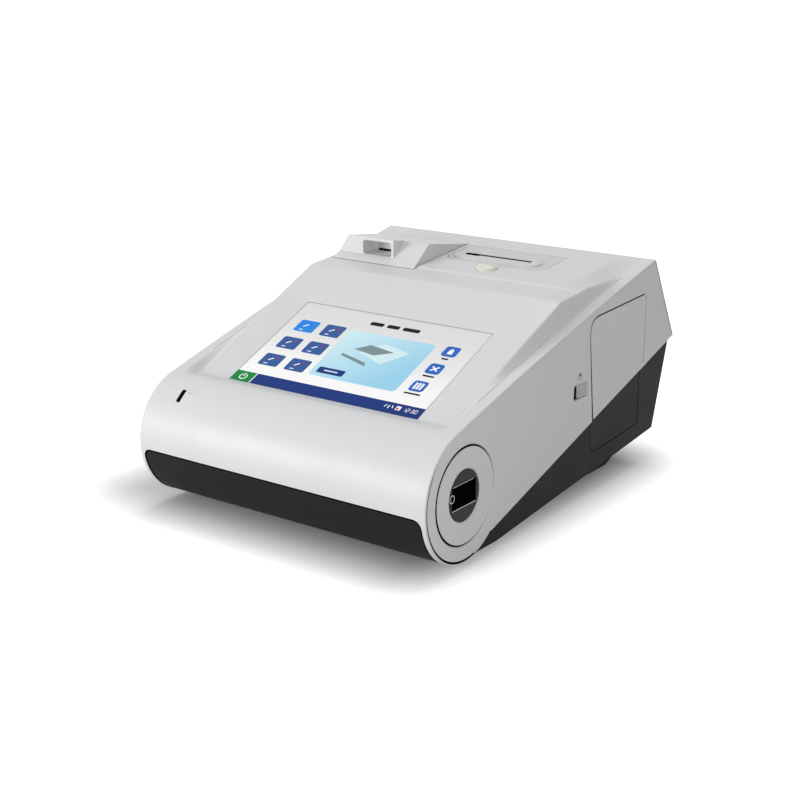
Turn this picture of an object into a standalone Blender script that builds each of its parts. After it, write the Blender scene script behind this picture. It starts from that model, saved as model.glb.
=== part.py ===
# Bench blood gas analyzer: a white moulded cover with a tilted touch screen, a rounded front
# roll with a card scanner in its right end, a card port and a receipt printer on top, and a
# fluid pack behind a side door. Metres, +X to the operator's right, +Y back, +Z up.
# The origin is under the middle of the body, on the table.

import math

import bmesh
import bpy
import numpy as np
from mathutils import Matrix, Vector

# Body outline, seen from the side
BODY_WIDTH = 0.232
WALL = 0.0024
SEAT_GAP = 0.0003
RUN_GAP = 0.0005
PIN_PLAY = 0.00006
CUT_OVER = 0.004
WELD = 0.000002
ROLL_RADIUS = 0.043
ROLL_Y = -0.1145
FOOT_HIGH = 0.0044
ROLL_Z = ROLL_RADIUS + FOOT_HIGH
RAIL_TURN = math.radians(73.7)
RAIL_BOW = 0.0022
BACK_TOP_Y = 0.1235
BACK_TOP_Z = 0.153
REAR_Y = 0.1575
REAR_Z = 0.0915
WEDGE_SLOPE = 0.3057
ROLL_UNDER = math.radians(-133)
COVER_UNDER = math.radians(-95)
RAIL_WIDTH = 0.009
EDGE_ROUND = 0.0006

# Top surface of the cover
SCREEN_FOOT_Y = -0.1115
SCREEN_FOOT_DROP = 0.0024
SCREEN_FOOT_Z = ROLL_Z + ROLL_RADIUS - SCREEN_FOOT_DROP
CREASE_Y = 0.0105
CREASE_Z = 0.14107
DECK_SLOPE = (CREASE_Z - SCREEN_FOOT_Z) / (CREASE_Y - SCREEN_FOOT_Y)
DECK_ANGLE = math.atan(DECK_SLOPE)
RIDGE_Y = 0.0345
RIDGE_RUN = 0.003
RIDGE_RISE = 0.001
RIDGE_SIDE = 0.024
RIDGE_HALF = BODY_WIDTH / 2 - RIDGE_SIDE
PLATEAU_FRONT_SIDE = 0.0135
PLATEAU_FRONT_HALF = BODY_WIDTH / 2 - PLATEAU_FRONT_SIDE
PLATEAU_BACK_SIDE = 0.0106
PLATEAU_BACK_HALF = BODY_WIDTH / 2 - PLATEAU_BACK_SIDE
SHOULDER_Y = 0.045
SHOULDER_END_Y = 0.086
SHOULDER_DROP = 0.0045
VALLEY_DIP = 0.0012
DIP_SHARES = (0.3, 0.55, 0.8)

# Side panels
PANEL_THICK = 0.0026
PANEL_LIP = 0.001
PANEL_SEAM = 0.00035
PANEL_SINK = 0.0003
RIM_WIDTH = 0.004
REBATE = 0.003

# Dark base
BAND_TOP = math.radians(-5)
BAND_CORNER = 0.006
BAND_SEAM = 0.0004
BASE_INSET = 0.0033
BAND_REACH = 0.006
BAND_END_Y = ROLL_Y + BAND_REACH
RING_ROOM = 0.0007
BASE_FLAT_LONG = 0.0395
BASE_FLAT_Y = ROLL_Y + BASE_FLAT_LONG
BASE_REAR_FOOT_Y = 0.1364
BASE_REAR_FOOT_Z = 0.0253
BASE_REAR_TOP_Y = 0.1562
BASE_REAR_DROP = 0.0012
BASE_LAP = 0.005
BAND_DIP = 0.0105
BASE_FRONT_DIP_Y = ROLL_Y - BAND_DIP
BAND_DEEP = 0.0085
BASE_BAND_BACK_Y = ROLL_Y - ROLL_RADIUS + BAND_DEEP
BELLY_SIDE = 0.018
BELLY_HALF = BODY_WIDTH / 2 - BELLY_SIDE
BELLY_FRONT_Y = -0.08
BELLY_BACK_Y = 0.095
BELLY_RISE_Y = 0.115
POST_RADIUS = 0.004
POST_SIDE = 0.022
POST_X = BODY_WIDTH / 2 - POST_SIDE
POST_FRONT_Y = -0.07
POST_BACK_Y = 0.03
HOLE_RADIUS = 0.0009
HOLE_PITCH = 0.0034
HOLE_ROW_SIZE = 6
SPEAKER_X = 0.021
SPEAKER_ANGLE = math.radians(-49)
SPEAKER_RADIUS = 0.012
SPEAKER_DEEP = 0.009
FOOT_RADIUS = 0.0075
FOOT_SIDE = 0.031
FOOT_X = BODY_WIDTH / 2 - FOOT_SIDE
FOOT_FRONT_Y = -0.098
FOOT_BACK_Y = 0.078
FOOT_ROUND = 0.0012

# Card scanner in the roll's right end
RING_RADIUS = 0.0305
RING_SEAM = 0.0004
RING_BORE = 0.0167
RING_DOME = 0.0022
RING_ROUND = 0.002
RING_LIP = 0.0016
RING_DEEP = 0.0042
WINDOW_SINK = 0.0011
WINDOW_THICK = 0.0014
ENGINE_SIZE = (0.018, 0.022, 0.015)
LENS_RADIUS = 0.0042
LENS_LONG = 0.0025
ENGINE_BACKSET = 0.0025
BRACKET_THICK = 0.0012
BRACKET_SIDE = 0.004

# Screen
SCREEN_WIDE = 0.1541
SCREEN_HIGH = 0.0922
GLASS_BORDER = 0.006
GLASS_THICK = 0.0018
GLASS_SINK = 0.0012
GASKET_THICK = 0.0006
LCD_THICK = 0.0052
LCD_BORDER = 0.0045
TRAY_WALL = 0.002
TRAY_WINDOW_SHARE = 0.7

# Status light on the front roll
LIGHT_SIDE = 0.0251
LIGHT_X = LIGHT_SIDE - BODY_WIDTH / 2
LIGHT_WIDE = 0.0034
LIGHT_LONG = 0.0092
LIGHT_DEEP = 0.004
LIGHT_ANGLE = math.radians(50.2)

# Card port
PORT_SIDE = 0.015
PORT_LEFT = PORT_SIDE - BODY_WIDTH / 2
PORT_WIDE = 0.0725
PORT_RIGHT = PORT_LEFT + PORT_WIDE
PORT_FRONT_Y = 0.032
PORT_BACK_Y = 0.1012
PORT_FLOOR_DROP = 0.00484
WING_TOP_Y = 0.0500
WING_DROP = 0.0033
SNOUT_WIDE = 0.0505
SNOUT_RIGHT = PORT_LEFT + SNOUT_WIDE
SNOUT_FACE_Y = 0.038
SNOUT_RISE = 0.01716
SNOUT_LEAN = 0.0095
MOUTH_INSET = 0.002
MOUTH_RIGHT = SNOUT_RIGHT - MOUTH_INSET
MOUTH_WIDE = 0.0255
MOUTH_LEFT = MOUTH_RIGHT - MOUTH_WIDE
MOUTH_ROOF = 0.0022
MOUTH_DEEP = 0.016
SLOT_HIGH = 0.0042
SLOT_DEEP = 0.034
PORT_WALL = 0.0018
PORT_FLOOR_THICK = 0.0014

# Contact head that rises to the card, and its lift
LIFT_TRAVEL = 0.003
HEAD_WIDE = 0.036
HEAD_LONG = 0.030
HEAD_THICK = 0.005
HEAD_NOSE = (0.016, 0.014)
HEAD_NOSE_DROP = 0.0023
HEAD_Y = 0.068
NUT_RADIUS = 0.0045
SCREW_RADIUS = 0.002
ROD_RADIUS = 0.002
ROD_SPAN = 0.028
LIFT_FRAME_HALF = 0.022
LIFT_FRAME_DEEP = 0.03
LIFT_SHEET = 0.0015
LIFT_MOTOR_RADIUS = 0.012
LIFT_MOTOR_LONG = 0.016

# Printer lid and its release button
LID_PORT_SPACE = 0.0045
LID_LEFT = PORT_RIGHT + LID_PORT_SPACE
LID_WIDE = 0.082
LID_RIGHT = LID_LEFT + LID_WIDE
LID_FRONT_Y = 0.0625
LID_HINGE_Y = 0.0985
LID_THICK = 0.0024
LID_CORNER = 0.010
LID_SEAM = 0.0004
LIP_LEFT_INSET = 0.0025
LIP_LEFT = LID_LEFT + LIP_LEFT_INSET
LIP_RIGHT_INSET = 0.0075
LIP_RIGHT = LID_RIGHT - LIP_RIGHT_INSET
LIP_FRONT_Y = 0.0665
LIP_BACK_Y = 0.0850
LIP_RISE = 0.0009
PAPER_INSET = 0.0107
PAPER_LEFT = LID_LEFT + PAPER_INSET
PAPER_SLOT_WIDE = 0.0551
PAPER_RIGHT = PAPER_LEFT + PAPER_SLOT_WIDE
PAPER_SLOT_FRONT_Y = 0.0745
PAPER_SLOT_BACK_Y = 0.0795
LID_PIN_RADIUS = 0.0007
LID_PIN_END = 0.0045
BUTTON_INSET = 0.0439
BUTTON_X = LID_LEFT + BUTTON_INSET
BUTTON_Y = 0.0525
BUTTON_HALF_X = 0.0082
BUTTON_HALF_Y = 0.0066
BUTTON_RISE = 0.0032
BUTTON_STEM = 0.0035
BUTTON_COLLAR = 0.0012
BUTTON_COLLAR_DROP = 0.0038
BUTTON_SEAM = 0.00035
SPRING_WIRE = 0.00035
BUTTON_SPRING_RADIUS = 0.0048
BUTTON_SPRING_LONG = 0.007
SPRING_TURNS = 5

# Printer works under the lid
PRINTER_SIDE = 0.0016
PRINTER_LEFT_INSET = 0.0035
PRINTER_LEFT = LID_LEFT + PRINTER_LEFT_INSET
PRINTER_RIGHT_INSET = 0.0065
PRINTER_RIGHT = LID_RIGHT - PRINTER_RIGHT_INSET
ROLL_PAPER_RADIUS = 0.0155
ROLL_CORE_RADIUS = 0.0065
PAPER_WIDE = 0.0515
PAPER_ROLL_Y = 0.0815
PAPER_ROLL_Z = 0.1195
BUCKET_WALL = 0.0016
BUCKET_PLAY = 0.0012
SPINDLE_RADIUS = 0.00644
SPINDLE_END_RADIUS = 0.0025
PRINTER_FRONT_Y = 0.041
PRINTER_BACK_Y = 0.1005
PRINTER_LOW_Z = 0.1005
PRINTER_NOSE_Z = 0.1085
PLATEN_RADIUS = 0.0048
PLATEN_Y = 0.0695
PLATEN_Z = 0.1378
SHAFT_RADIUS = 0.0015
GEAR_MODULE = 0.0008
GEAR_WIDE = 0.003
GEAR_FACE_PLAY = 0.0006
PINION_SHAFT_RADIUS = 0.001
GEAR_ADDENDUM_SHARE = 0.85
GEAR_DEDENDUM_SHARE = 1.15
TOOTH_ROOT_SHARE = 0.62
TOOTH_TIP_SHARE = 0.26
PLATEN_TEETH = 16
IDLER_TEETH = 20
MOTOR_TEETH = 10
IDLER_ANGLE = math.radians(-35)
PINION_ANGLE = math.radians(-60)
PRINT_MOTOR_RADIUS = 0.009
PRINT_MOTOR_LONG = 0.014
PRINT_HEAD_SIZE = (0.0500, 0.0032, 0.0070)

# Side door and its latch
DOOR_FRONT_LOW_Y = 0.0409
DOOR_FRONT_LOW_Z = 0.0585
DOOR_FRONT_HIGH_Y = 0.0332
DOOR_FRONT_HIGH_Z = 0.1140
DOOR_TOP_FRONT_Y = 0.0450
DOOR_TOP_FRONT_Z = 0.1273
DOOR_TOP_BACK_Z = 0.1303
DOOR_BACK_ROUND = 0.003
CORNER_SHARES = (0.25, 0.5, 0.75)
DOOR_HINGE_Y = 0.1108
DOOR_FOOT_FRONT_Y = 0.0425
DOOR_FOOT_Z = 0.0300
DOOR_FOOT_BACK_Z = 0.0347
DOOR_FOOT_ROUND = 0.007
DOOR_SEAM = 0.0005
DOOR_TAB_LONG = 0.0065
DOOR_TAB_HIGH = 0.0045
DOOR_RELIEF_SHARE = 0.7
DOOR_PIN_RADIUS = 0.0007
DOOR_PIN_END = 0.0035
CATCH_LIP = 0.0018
CATCH_SETBACK = 0.0012
CATCH_REACH = 0.0045
CATCH_DEEP = 0.0045
CATCH_HIGH = 0.006
LATCH_FRONT_Y = 0.0128
LATCH_BACK_Y = 0.0315
LATCH_LOW_Z = 0.0752
LATCH_HIGH_Z = 0.0858
LATCH_ROUND = 0.0022
LATCH_TRAVEL = 0.004
LATCH_KNOB_LONG = 0.0105
LATCH_KNOB_SINK = 0.0012
LATCH_RIBS = 5
LATCH_RIB_RISE = 0.0007
LATCH_BACK_LAP = 0.0018
LATCH_PLATE = 0.0018
LATCH_BAR = 0.002
LATCH_STOP = 0.0014

# Fluid bay and pack
BAY_PRINTER_SPACE = 0.0045
BAY_WALL = 0.0014
BAY_FRONT_Y = 0.0475
BAY_BACK_Y = 0.1065
BAY_TOP_Z = 0.1225
PACK_SIDE_PLAY = 0.0022
PACK_HIGH_SHARE = 0.9
PACK_DEPTH_SHARE = 0.72
PACK_ROUND = 0.003
PACK_GRIP_RADIUS = 0.010
PORT_STUB_RADIUS = 0.0025
PORT_STUB_LONG = 0.004

# Chassis, boards and power
CHASSIS_THICK = 0.0012
CHASSIS_Z = 0.0305
CHASSIS_SIDE = 0.012
CHASSIS_HALF = BODY_WIDTH / 2 - CHASSIS_SIDE
CHASSIS_FRONT_Y = -0.085
CHASSIS_BACK_Y = 0.118
STANDOFF_HIGH = 0.005
STANDOFF_RADIUS = 0.003
BOARD_THICK = 0.0016
BOARD_EDGE = 0.009
BOARD_LEFT = BOARD_EDGE - CHASSIS_HALF
BOARD_WIDE = 0.135
BOARD_RIGHT = BOARD_LEFT + BOARD_WIDE
BOARD_FRONT_Y = -0.075
BOARD_BACK_Y = 0.020
CHIP_SIDE = 0.022
CHIP_HIGH = 0.0025
BOARD_INSET = 0.008
BATTERY_WIDE = 0.070
BATTERY_LONG = 0.100
BATTERY_HIGH = 0.0185
BATTERY_ROUND = 0.004
BATTERY_Y = 0.005
BATTERY_COVER_LAP = 0.003
BATTERY_COVER_THICK = 0.0013
FAN_SIDE = 0.040
FAN_THICK = 0.010
FAN_BORE = 0.0185
FAN_HUB = 0.009
FAN_BLADES = 7
FAN_INSET = 0.056
FAN_X = BODY_WIDTH / 2 - FAN_INSET
FAN_UP = 0.034
FAN_SLOT = 0.0022
FAN_SLOTS = 7
BLADE_THICK = 0.0008
BLADE_TWIST = math.radians(38)
SOCKET_WALL = 0.0006
SOCKET_DEEP = 0.013
DC_SIDE = 0.026
DC_X = DC_SIDE - BODY_WIDTH / 2
USB_SPACE = 0.024
USB_X = DC_X + USB_SPACE
LAN_SPACE = 0.026
LAN_X = USB_X + LAN_SPACE
LAN_SIZE = (0.0160, 0.0135)
USB_SIZE = (0.0135, 0.0150)
DC_RADIUS = 0.0048
DC_BORE = 0.0036
DC_PIN = 0.0009
TONGUE_SHARE = 0.25

# Pump and fluid lines
PUMP_X = 0.018
PUMP_Y = 0.072
PUMP_SIDE = 0.040
PUMP_HIGH = 0.020
PUMP_BORE = 0.0150
PUMP_ROTOR_RADIUS = 0.0100
PUMP_ROLLER_RADIUS = 0.0026
PUMP_ROLLERS = 3
PUMP_PLATE = 0.0016
TUBE_RADIUS = 0.0012
PUMP_MOTOR_RADIUS = 0.012
PUMP_MOTOR_LONG = 0.022
PUMP_LEG = 0.028
PUMP_FLOOR = 0.003
PUMP_TUBE_REACH = 0.0137
VALVE_SIZE = (0.036, 0.020, 0.038)
VALVE_NIPPLE = 0.0022

HALF = BODY_WIDTH / 2
PANEL_FACE = HALF - PANEL_SINK
PANEL_BACK = PANEL_FACE - PANEL_THICK
BASE_HALF = HALF - BASE_INSET

for thing in list(bpy.data.objects):
    bpy.data.objects.remove(thing, do_unlink=True)

parts = bpy.data.collections.new("blood_gas_analyzer")
cutters = bpy.data.collections.new("cutters")
bpy.context.scene.collection.children.link(parts)
bpy.context.scene.collection.children.link(cutters)


def finish(name, colour, roughness, metallic=0.0):
    made = bpy.data.materials.new(name)
    made.use_nodes = True
    shader = made.node_tree.nodes["Principled BSDF"]
    shader.inputs["Base Color"].default_value = (*colour, 1.0)
    shader.inputs["Roughness"].default_value = roughness
    shader.inputs["Metallic"].default_value = metallic
    return made


WHITE = ((0.76, 0.77, 0.78), 0.38)
SILVER_GREY = ((0.60, 0.60, 0.60), 0.40)
CHARCOAL = ((0.030, 0.031, 0.033), 0.48)
CREAM = ((0.78, 0.75, 0.66), 0.35)
BLACK = ((0.010, 0.010, 0.012), 0.12)
RUBBER = ((0.020, 0.020, 0.020), 0.85)
STEEL = ((0.52, 0.53, 0.54), 0.35, 1.0)
ALLOY = ((0.70, 0.71, 0.72), 0.40, 1.0)
BRASS = ((0.70, 0.52, 0.22), 0.30, 1.0)
GREEN_BOARD = ((0.02, 0.12, 0.05), 0.45)
NATURAL = ((0.72, 0.72, 0.68), 0.45)
PAPER = ((0.85, 0.85, 0.82), 0.80)
SCREEN = ((0.55, 0.66, 0.80), 0.10)
AMBER = ((0.55, 0.42, 0.20), 0.30)


def take(name, mesh, look, smooth=False):
    """Put a mesh into the scene as a part, or as a cutter when it has no look."""
    made = bpy.data.objects.new(name, mesh)
    if look is None:
        cutters.objects.link(made)
        made.hide_render = True
        made.display_type = "WIRE"
    else:
        parts.objects.link(made)
        mesh.materials.append(finish(name, *look))
    if smooth:
        mesh.shade_smooth()
        mesh.set_sharp_from_angle(angle=math.radians(35))
    return made


def from_bmesh(name, shape, look, smooth=False):
    mesh = bpy.data.meshes.new(name)
    bmesh.ops.recalc_face_normals(shape, faces=shape.faces)
    shape.to_mesh(mesh)
    shape.free()
    return take(name, mesh, look, smooth)


def soften(target, width, segments=1):
    bevel = target.modifiers.new("round", "BEVEL")
    bevel.width = width
    bevel.segments = segments
    bevel.limit_method = "ANGLE"
    bevel.angle_limit = math.radians(40)
    return target


def block(name, low, high, look=None, edge=0, place=None):
    """A box between two corners, its edges rounded by edge."""
    shape = bmesh.new()
    size = [b - a for a, b in zip(low, high)]
    middle = [(a + b) / 2 for a, b in zip(low, high)]
    sized = Matrix.Translation(middle) @ Matrix.Diagonal((*size, 1))
    bmesh.ops.create_cube(shape, size=1, matrix=sized)
    made = from_bmesh(name, shape, look)
    if edge:
        soften(made, edge)
    if place is not None:
        made.matrix_world = place
    return made


def rod(name, radius, start, end, look=None, sides=24, place=None, tip=None):
    """A cylinder, or a cone when tip is given, from start to end."""
    start, end = Vector(start), Vector(end)
    along = end - start
    shape = bmesh.new()
    turn = along.to_track_quat("Z", "Y").to_matrix().to_4x4()
    bmesh.ops.create_cone(
        shape,
        cap_ends=True,
        segments=sides,
        radius1=radius,
        radius2=radius if tip is None else tip,
        depth=along.length,
        matrix=Matrix.Translation((start + end) / 2) @ turn,
    )
    made = from_bmesh(name, shape, look, smooth=True)
    if place is not None:
        made.matrix_world = place
    return made


def turned(name, profile, place, look, steps=40):
    """A profile of (radius, height) points, its outer side first and downwards, spun about Z."""
    mesh = bpy.data.meshes.new(name)
    points = [(radius, 0, height) for radius, height in profile]
    edges = [(i, (i + 1) % len(points)) for i in range(len(points))]
    mesh.from_pydata(points, edges, [])
    made = take(name, mesh, look)
    made.matrix_world = place
    screw = made.modifiers.new("spin", "SCREW")
    screw.steps = steps
    screw.render_steps = steps
    screw.use_merge_vertices = True
    screw.merge_threshold = WELD
    screw.use_smooth_shade = True
    return made


OUTLINE_FRAMES = {
    "X": Matrix(((0, 0, 1, 0), (1, 0, 0, 0), (0, 1, 0, 0), (0, 0, 0, 1))),
    "Y": Matrix(((1, 0, 0, 0), (0, 0, -1, 0), (0, 1, 0, 0), (0, 0, 0, 1))),
    "Z": Matrix.Identity(4),
}
DIRECTIONS = {"X": Vector((1, 0, 0)), "Y": Vector((0, 1, 0)), "Z": Vector((0, 0, 1))}


def outline(name, loops, low, high, axis, look=None, edge=0, place=None, segments=1):
    """Flat loops, the first one the rim and the others holes, as a plate from low to high."""
    curve = bpy.data.curves.new(name, "CURVE")
    curve.dimensions = "2D"
    curve.fill_mode = "BOTH"
    curve.extrude = (high - low) / 2
    for loop in loops:
        spline = curve.splines.new("POLY")
        spline.points.add(len(loop) - 1)
        for point, (across, up) in zip(spline.points, loop):
            point.co = (across, up, 0, 1)
        spline.use_cyclic_u = True
    drawn = bpy.data.objects.new(name, curve)
    cutters.objects.link(drawn)
    shift = Matrix.Translation(DIRECTIONS[axis] * (low + high) / 2)
    drawn.matrix_world = (place or Matrix.Identity(4)) @ shift @ OUTLINE_FRAMES[axis]
    made = solid_from_curve(drawn, look)
    if edge:
        soften(made, edge, segments)
    return made


def solid_from_curve(drawn, look, smooth=False):
    """The curve's own shape as a welded mesh object in its place."""
    bpy.context.view_layer.update()
    name = drawn.name
    evaluated = drawn.evaluated_get(bpy.context.evaluated_depsgraph_get())
    mesh = bpy.data.meshes.new_from_object(evaluated)
    mesh.materials.clear()
    shape = bmesh.new()
    shape.from_mesh(mesh)
    bmesh.ops.remove_doubles(shape, verts=shape.verts, dist=WELD)
    bmesh.ops.recalc_face_normals(shape, faces=shape.faces)
    shape.to_mesh(mesh)
    shape.free()
    where = drawn.matrix_world.copy()
    bpy.data.objects.remove(drawn, do_unlink=True)
    made = take(name, mesh, look, smooth)
    made.name = name
    made.matrix_world = where
    return made


def tube(name, points, radius, look, sides=2):
    """A round tube through points, with closed ends."""
    curve = bpy.data.curves.new(name, "CURVE")
    curve.dimensions = "3D"
    curve.bevel_depth = radius
    curve.bevel_resolution = sides
    curve.use_fill_caps = True
    spline = curve.splines.new("POLY")
    spline.points.add(len(points) - 1)
    for point, place in zip(spline.points, points):
        point.co = (*place, 1)
    drawn = bpy.data.objects.new(name, curve)
    cutters.objects.link(drawn)
    return solid_from_curve(drawn, look, smooth=True)


def combine(target, others, how):
    for other in others:
        boolean = target.modifiers.new(how.lower(), "BOOLEAN")
        boolean.operation = how
        boolean.solver = "EXACT"
        boolean.object = other
    return target


def cut(target, *others):
    return combine(target, others, "DIFFERENCE")


def fuse(target, *others):
    return combine(target, others, "UNION")


def arc(centre, radius, start, end, steps):
    """Points round a centre; an angle of 0 is to the front, a quarter turn is up."""
    angles = np.linspace(start, end, steps + 1)
    return [
        (centre[0] - radius * math.cos(a), centre[1] + radius * math.sin(a)) for a in angles
    ]


def circle(centre, radius, sides):
    return arc(centre, radius, 0, 2 * math.pi, sides)[:-1]


def rounded(low, high, radius, steps=4):
    """A rectangle with round corners, from its low corner to its high one."""
    left, right = low[0] + radius, high[0] - radius
    lower, upper = low[1] + radius, high[1] - radius
    corners = ((left, lower, -90), (left, upper, 0), (right, upper, 90), (right, lower, 180))
    points = []
    for x, y, start in corners:
        turn = math.radians(start)
        points += arc((x, y), radius, turn, turn + math.pi / 2, steps)
    return points


def fillet(before, corner, after, radius, steps=5):
    """An arc that rounds a corner between two straight stretches."""
    here = Vector(corner)
    back = (Vector(before) - here).normalized()
    on = (Vector(after) - here).normalized()
    half = math.acos(max(-1.0, min(1.0, back.dot(on)))) / 2
    middle = here + (back + on).normalized() * (radius / math.sin(half))
    first = here + back * (radius / math.tan(half))
    last = here + on * (radius / math.tan(half))
    start, end = first - middle, last - middle
    turn = start.angle_signed(end)
    return [
        tuple(middle + Matrix.Rotation(-turn * i / steps, 2) @ start)
        for i in range(steps + 1)
    ]


def moved_out(points, distance, closed=True):
    """A line of points moved sideways by distance, to the left of its way; corners stay sharp."""
    line = np.array(points)
    before = np.roll(line, 1, axis=0)
    after = np.roll(line, -1, axis=0)
    if not closed:
        before[0] = line[0] * 2 - line[1]
        after[-1] = line[-1] * 2 - line[-2]
    coming = line - before
    going = after - line
    coming /= np.linalg.norm(coming, axis=1, keepdims=True)
    going /= np.linalg.norm(going, axis=1, keepdims=True)
    left_in = np.stack([-coming[:, 1], coming[:, 0]], axis=1)
    left_out = np.stack([-going[:, 1], going[:, 0]], axis=1)
    both = left_in + left_out
    both /= np.linalg.norm(both, axis=1, keepdims=True)
    reach = distance / np.sum(both * left_in, axis=1, keepdims=True)
    return [tuple(point) for point in line + both * reach]


# Side view of the body: the roll, the rail above it, the back and the wedge line
ROLL = (ROLL_Y, ROLL_Z)
RAIL_START = arc(ROLL, ROLL_RADIUS, RAIL_TURN, RAIL_TURN, 1)[0]


def rail_z(y):
    """Height of the side rail: a straight rise with a slight bow."""
    share = (y - RAIL_START[0]) / (BACK_TOP_Y - RAIL_START[0])
    straight = RAIL_START[1] + share * (BACK_TOP_Z - RAIL_START[1])
    return straight + 4 * RAIL_BOW * share * (1 - share)


def wedge_z(y):
    """Height of the line where the white sides end and the dark base begins."""
    return REAR_Z + WEDGE_SLOPE * (y - REAR_Y)


def deck_z(y):
    return SCREEN_FOOT_Z + DECK_SLOPE * (y - SCREEN_FOOT_Y)


TOP_SLOPE = (BACK_TOP_Z - CREASE_Z) / (BACK_TOP_Y - CREASE_Y)


def top_z(y):
    return CREASE_Z + TOP_SLOPE * (y - CREASE_Y)


def crown_z(y):
    """Height of the cover's top behind the ridge."""
    return top_z(y) + RIDGE_RISE * (BACK_TOP_Y - y) / (BACK_TOP_Y - RIDGE_Y)


CROWN_ANGLE = math.atan(TOP_SLOPE - RIDGE_RISE / (BACK_TOP_Y - RIDGE_Y))


def body_side():
    """The whole side view, clockwise from under the roll, as (y, z) points."""
    points = arc(ROLL, ROLL_RADIUS, ROLL_UNDER, RAIL_TURN, 26)
    stations = np.linspace(RAIL_START[0], BACK_TOP_Y, 9)[1:]
    points += [(y, rail_z(y)) for y in stations]
    points.append((REAR_Y, REAR_Z))
    return points


def cover_rows():
    """Stations of the cover from under the roll to the rear: y, centre z, edge z and rail z."""
    rows = []
    for y, z in arc(ROLL, ROLL_RADIUS, COVER_UNDER, RAIL_TURN, 22):
        rows.append((y, z, z, z))
    dip_start, dip_end = RAIL_START[0], SCREEN_FOOT_Y
    for share in DIP_SHARES:
        y = dip_start + share * (dip_end - dip_start)
        level = RAIL_START[1] + share * (SCREEN_FOOT_Z - RAIL_START[1])
        z = level + VALLEY_DIP * math.sin(2 * math.pi * share) / 2
        rows.append((y, z, z, rail_z(y)))
    deck = np.linspace(SCREEN_FOOT_Y, CREASE_Y, 6)
    rows += [(y, deck_z(y), deck_z(y), rail_z(y)) for y in deck]
    rows.append((RIDGE_Y, top_z(RIDGE_Y), top_z(RIDGE_Y), rail_z(RIDGE_Y)))
    behind = (RIDGE_Y + RIDGE_RUN, SHOULDER_Y, SHOULDER_END_Y, BACK_TOP_Y)
    for y in behind:
        drop = SHOULDER_DROP * max(0, y - SHOULDER_Y) / (SHOULDER_END_Y - SHOULDER_Y)
        edge = max(top_z(y) - drop, rail_z(y)) if y < BACK_TOP_Y else BACK_TOP_Z
        rows.append((y, crown_z(y), edge, rail_z(y)))
    rows.append((REAR_Y, REAR_Z, REAR_Z, REAR_Z))
    return rows


def cover_skin(name, look):
    """The outer skin as a grid of rows and columns, given its wall by Solidify."""
    rows = cover_rows()
    grid = []
    for y, middle, edge, rail in rows:
        share = min(1, max(0, (y - SCREEN_FOOT_Y) / (CREASE_Y - SCREEN_FOOT_Y)))
        shoulder = PLATEAU_FRONT_HALF + share * (PLATEAU_BACK_HALF - PLATEAU_FRONT_HALF)
        valley = HALF - RAIL_WIDTH
        right = [(RIDGE_HALF, middle), (shoulder, edge), (valley, rail), (HALF, rail)]
        columns = [(-x, z) for x, z in reversed(right)] + right
        grid.append([(x, y, z) for x, z in columns])
    across = len(grid[0])
    points = [point for row in grid for point in row]
    faces = []
    for i in range(len(grid) - 1):
        for j in range(across - 1):
            here = i * across + j
            faces.append((here, here + 1, here + across + 1, here + across))
    mesh = bpy.data.meshes.new(name)
    mesh.from_pydata(points, [], faces)
    made = take(name, mesh, look, smooth=True)
    shell = made.modifiers.new("wall", "SOLIDIFY")
    shell.thickness = WALL
    shell.offset = -1
    shell.use_even_offset = True
    made.modifiers.new("flat", "TRIANGULATE")
    return made


def deck_frame(centre_y):
    """A frame on the deck: its Y runs up the slope and its Z points out of the surface."""
    here = Vector((0, centre_y, deck_z(centre_y)))
    return Matrix.Translation(here) @ Matrix.Rotation(DECK_ANGLE, 4, "X")


def crown_frame(x, y):
    """A frame on the cover's top behind the ridge, square to it."""
    here = Vector((x, y, crown_z(y)))
    return Matrix.Translation(here) @ Matrix.Rotation(CROWN_ANGLE, 4, "X")


REAR_LEAN = math.atan2(BASE_REAR_TOP_Y - BASE_REAR_FOOT_Y, REAR_Z - BASE_REAR_FOOT_Z)


def rear_frame(x, up):
    """A frame on the dark rear wall: X to the left, Y up the wall and Z out of it."""
    along = Vector((0, math.sin(REAR_LEAN), math.cos(REAR_LEAN)))
    out = Vector((0, math.cos(REAR_LEAN), -math.sin(REAR_LEAN)))
    here = Vector((x, BASE_REAR_FOOT_Y, BASE_REAR_FOOT_Z)) + along * up
    across = along.cross(out)
    turn = Matrix((across, along, out)).transposed().to_4x4()
    return Matrix.Translation(here) @ turn


def side_frame(x, y, z):
    """A frame whose Z runs along +X, for pieces turned about an axis that runs across."""
    return Matrix.Translation((x, y, z)) @ Matrix.Rotation(math.pi / 2, 4, "Y")


# Casing
cover = cover_skin("upper_cover", WHITE)
band_low = -ROLL_RADIUS
band_high = arc(ROLL, ROLL_RADIUS, BAND_TOP, BAND_TOP, 1)[0][1]
band_half = HALF - RIM_WIDTH
band_gap = outline(
    "band_opening",
    [rounded((-band_half, band_low), (band_half, band_high), BAND_CORNER)],
    ROLL_Y - ROLL_RADIUS - CUT_OVER,
    ROLL_Y + ROLL_RADIUS / 2,
    "Y",
)
cut(cover, band_gap)


def lowered_side(drop):
    """The side view with its lower line moved down by drop, the back wall made longer."""
    side = body_side()
    side[0] = (side[0][0], side[0][1] - drop)
    back = Vector((REAR_Y - BACK_TOP_Y, REAR_Z - BACK_TOP_Z))
    side[-1] = tuple(Vector(side[-1]) + back * (drop / (WEDGE_SLOPE * back.x - back.y)))
    return side


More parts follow.
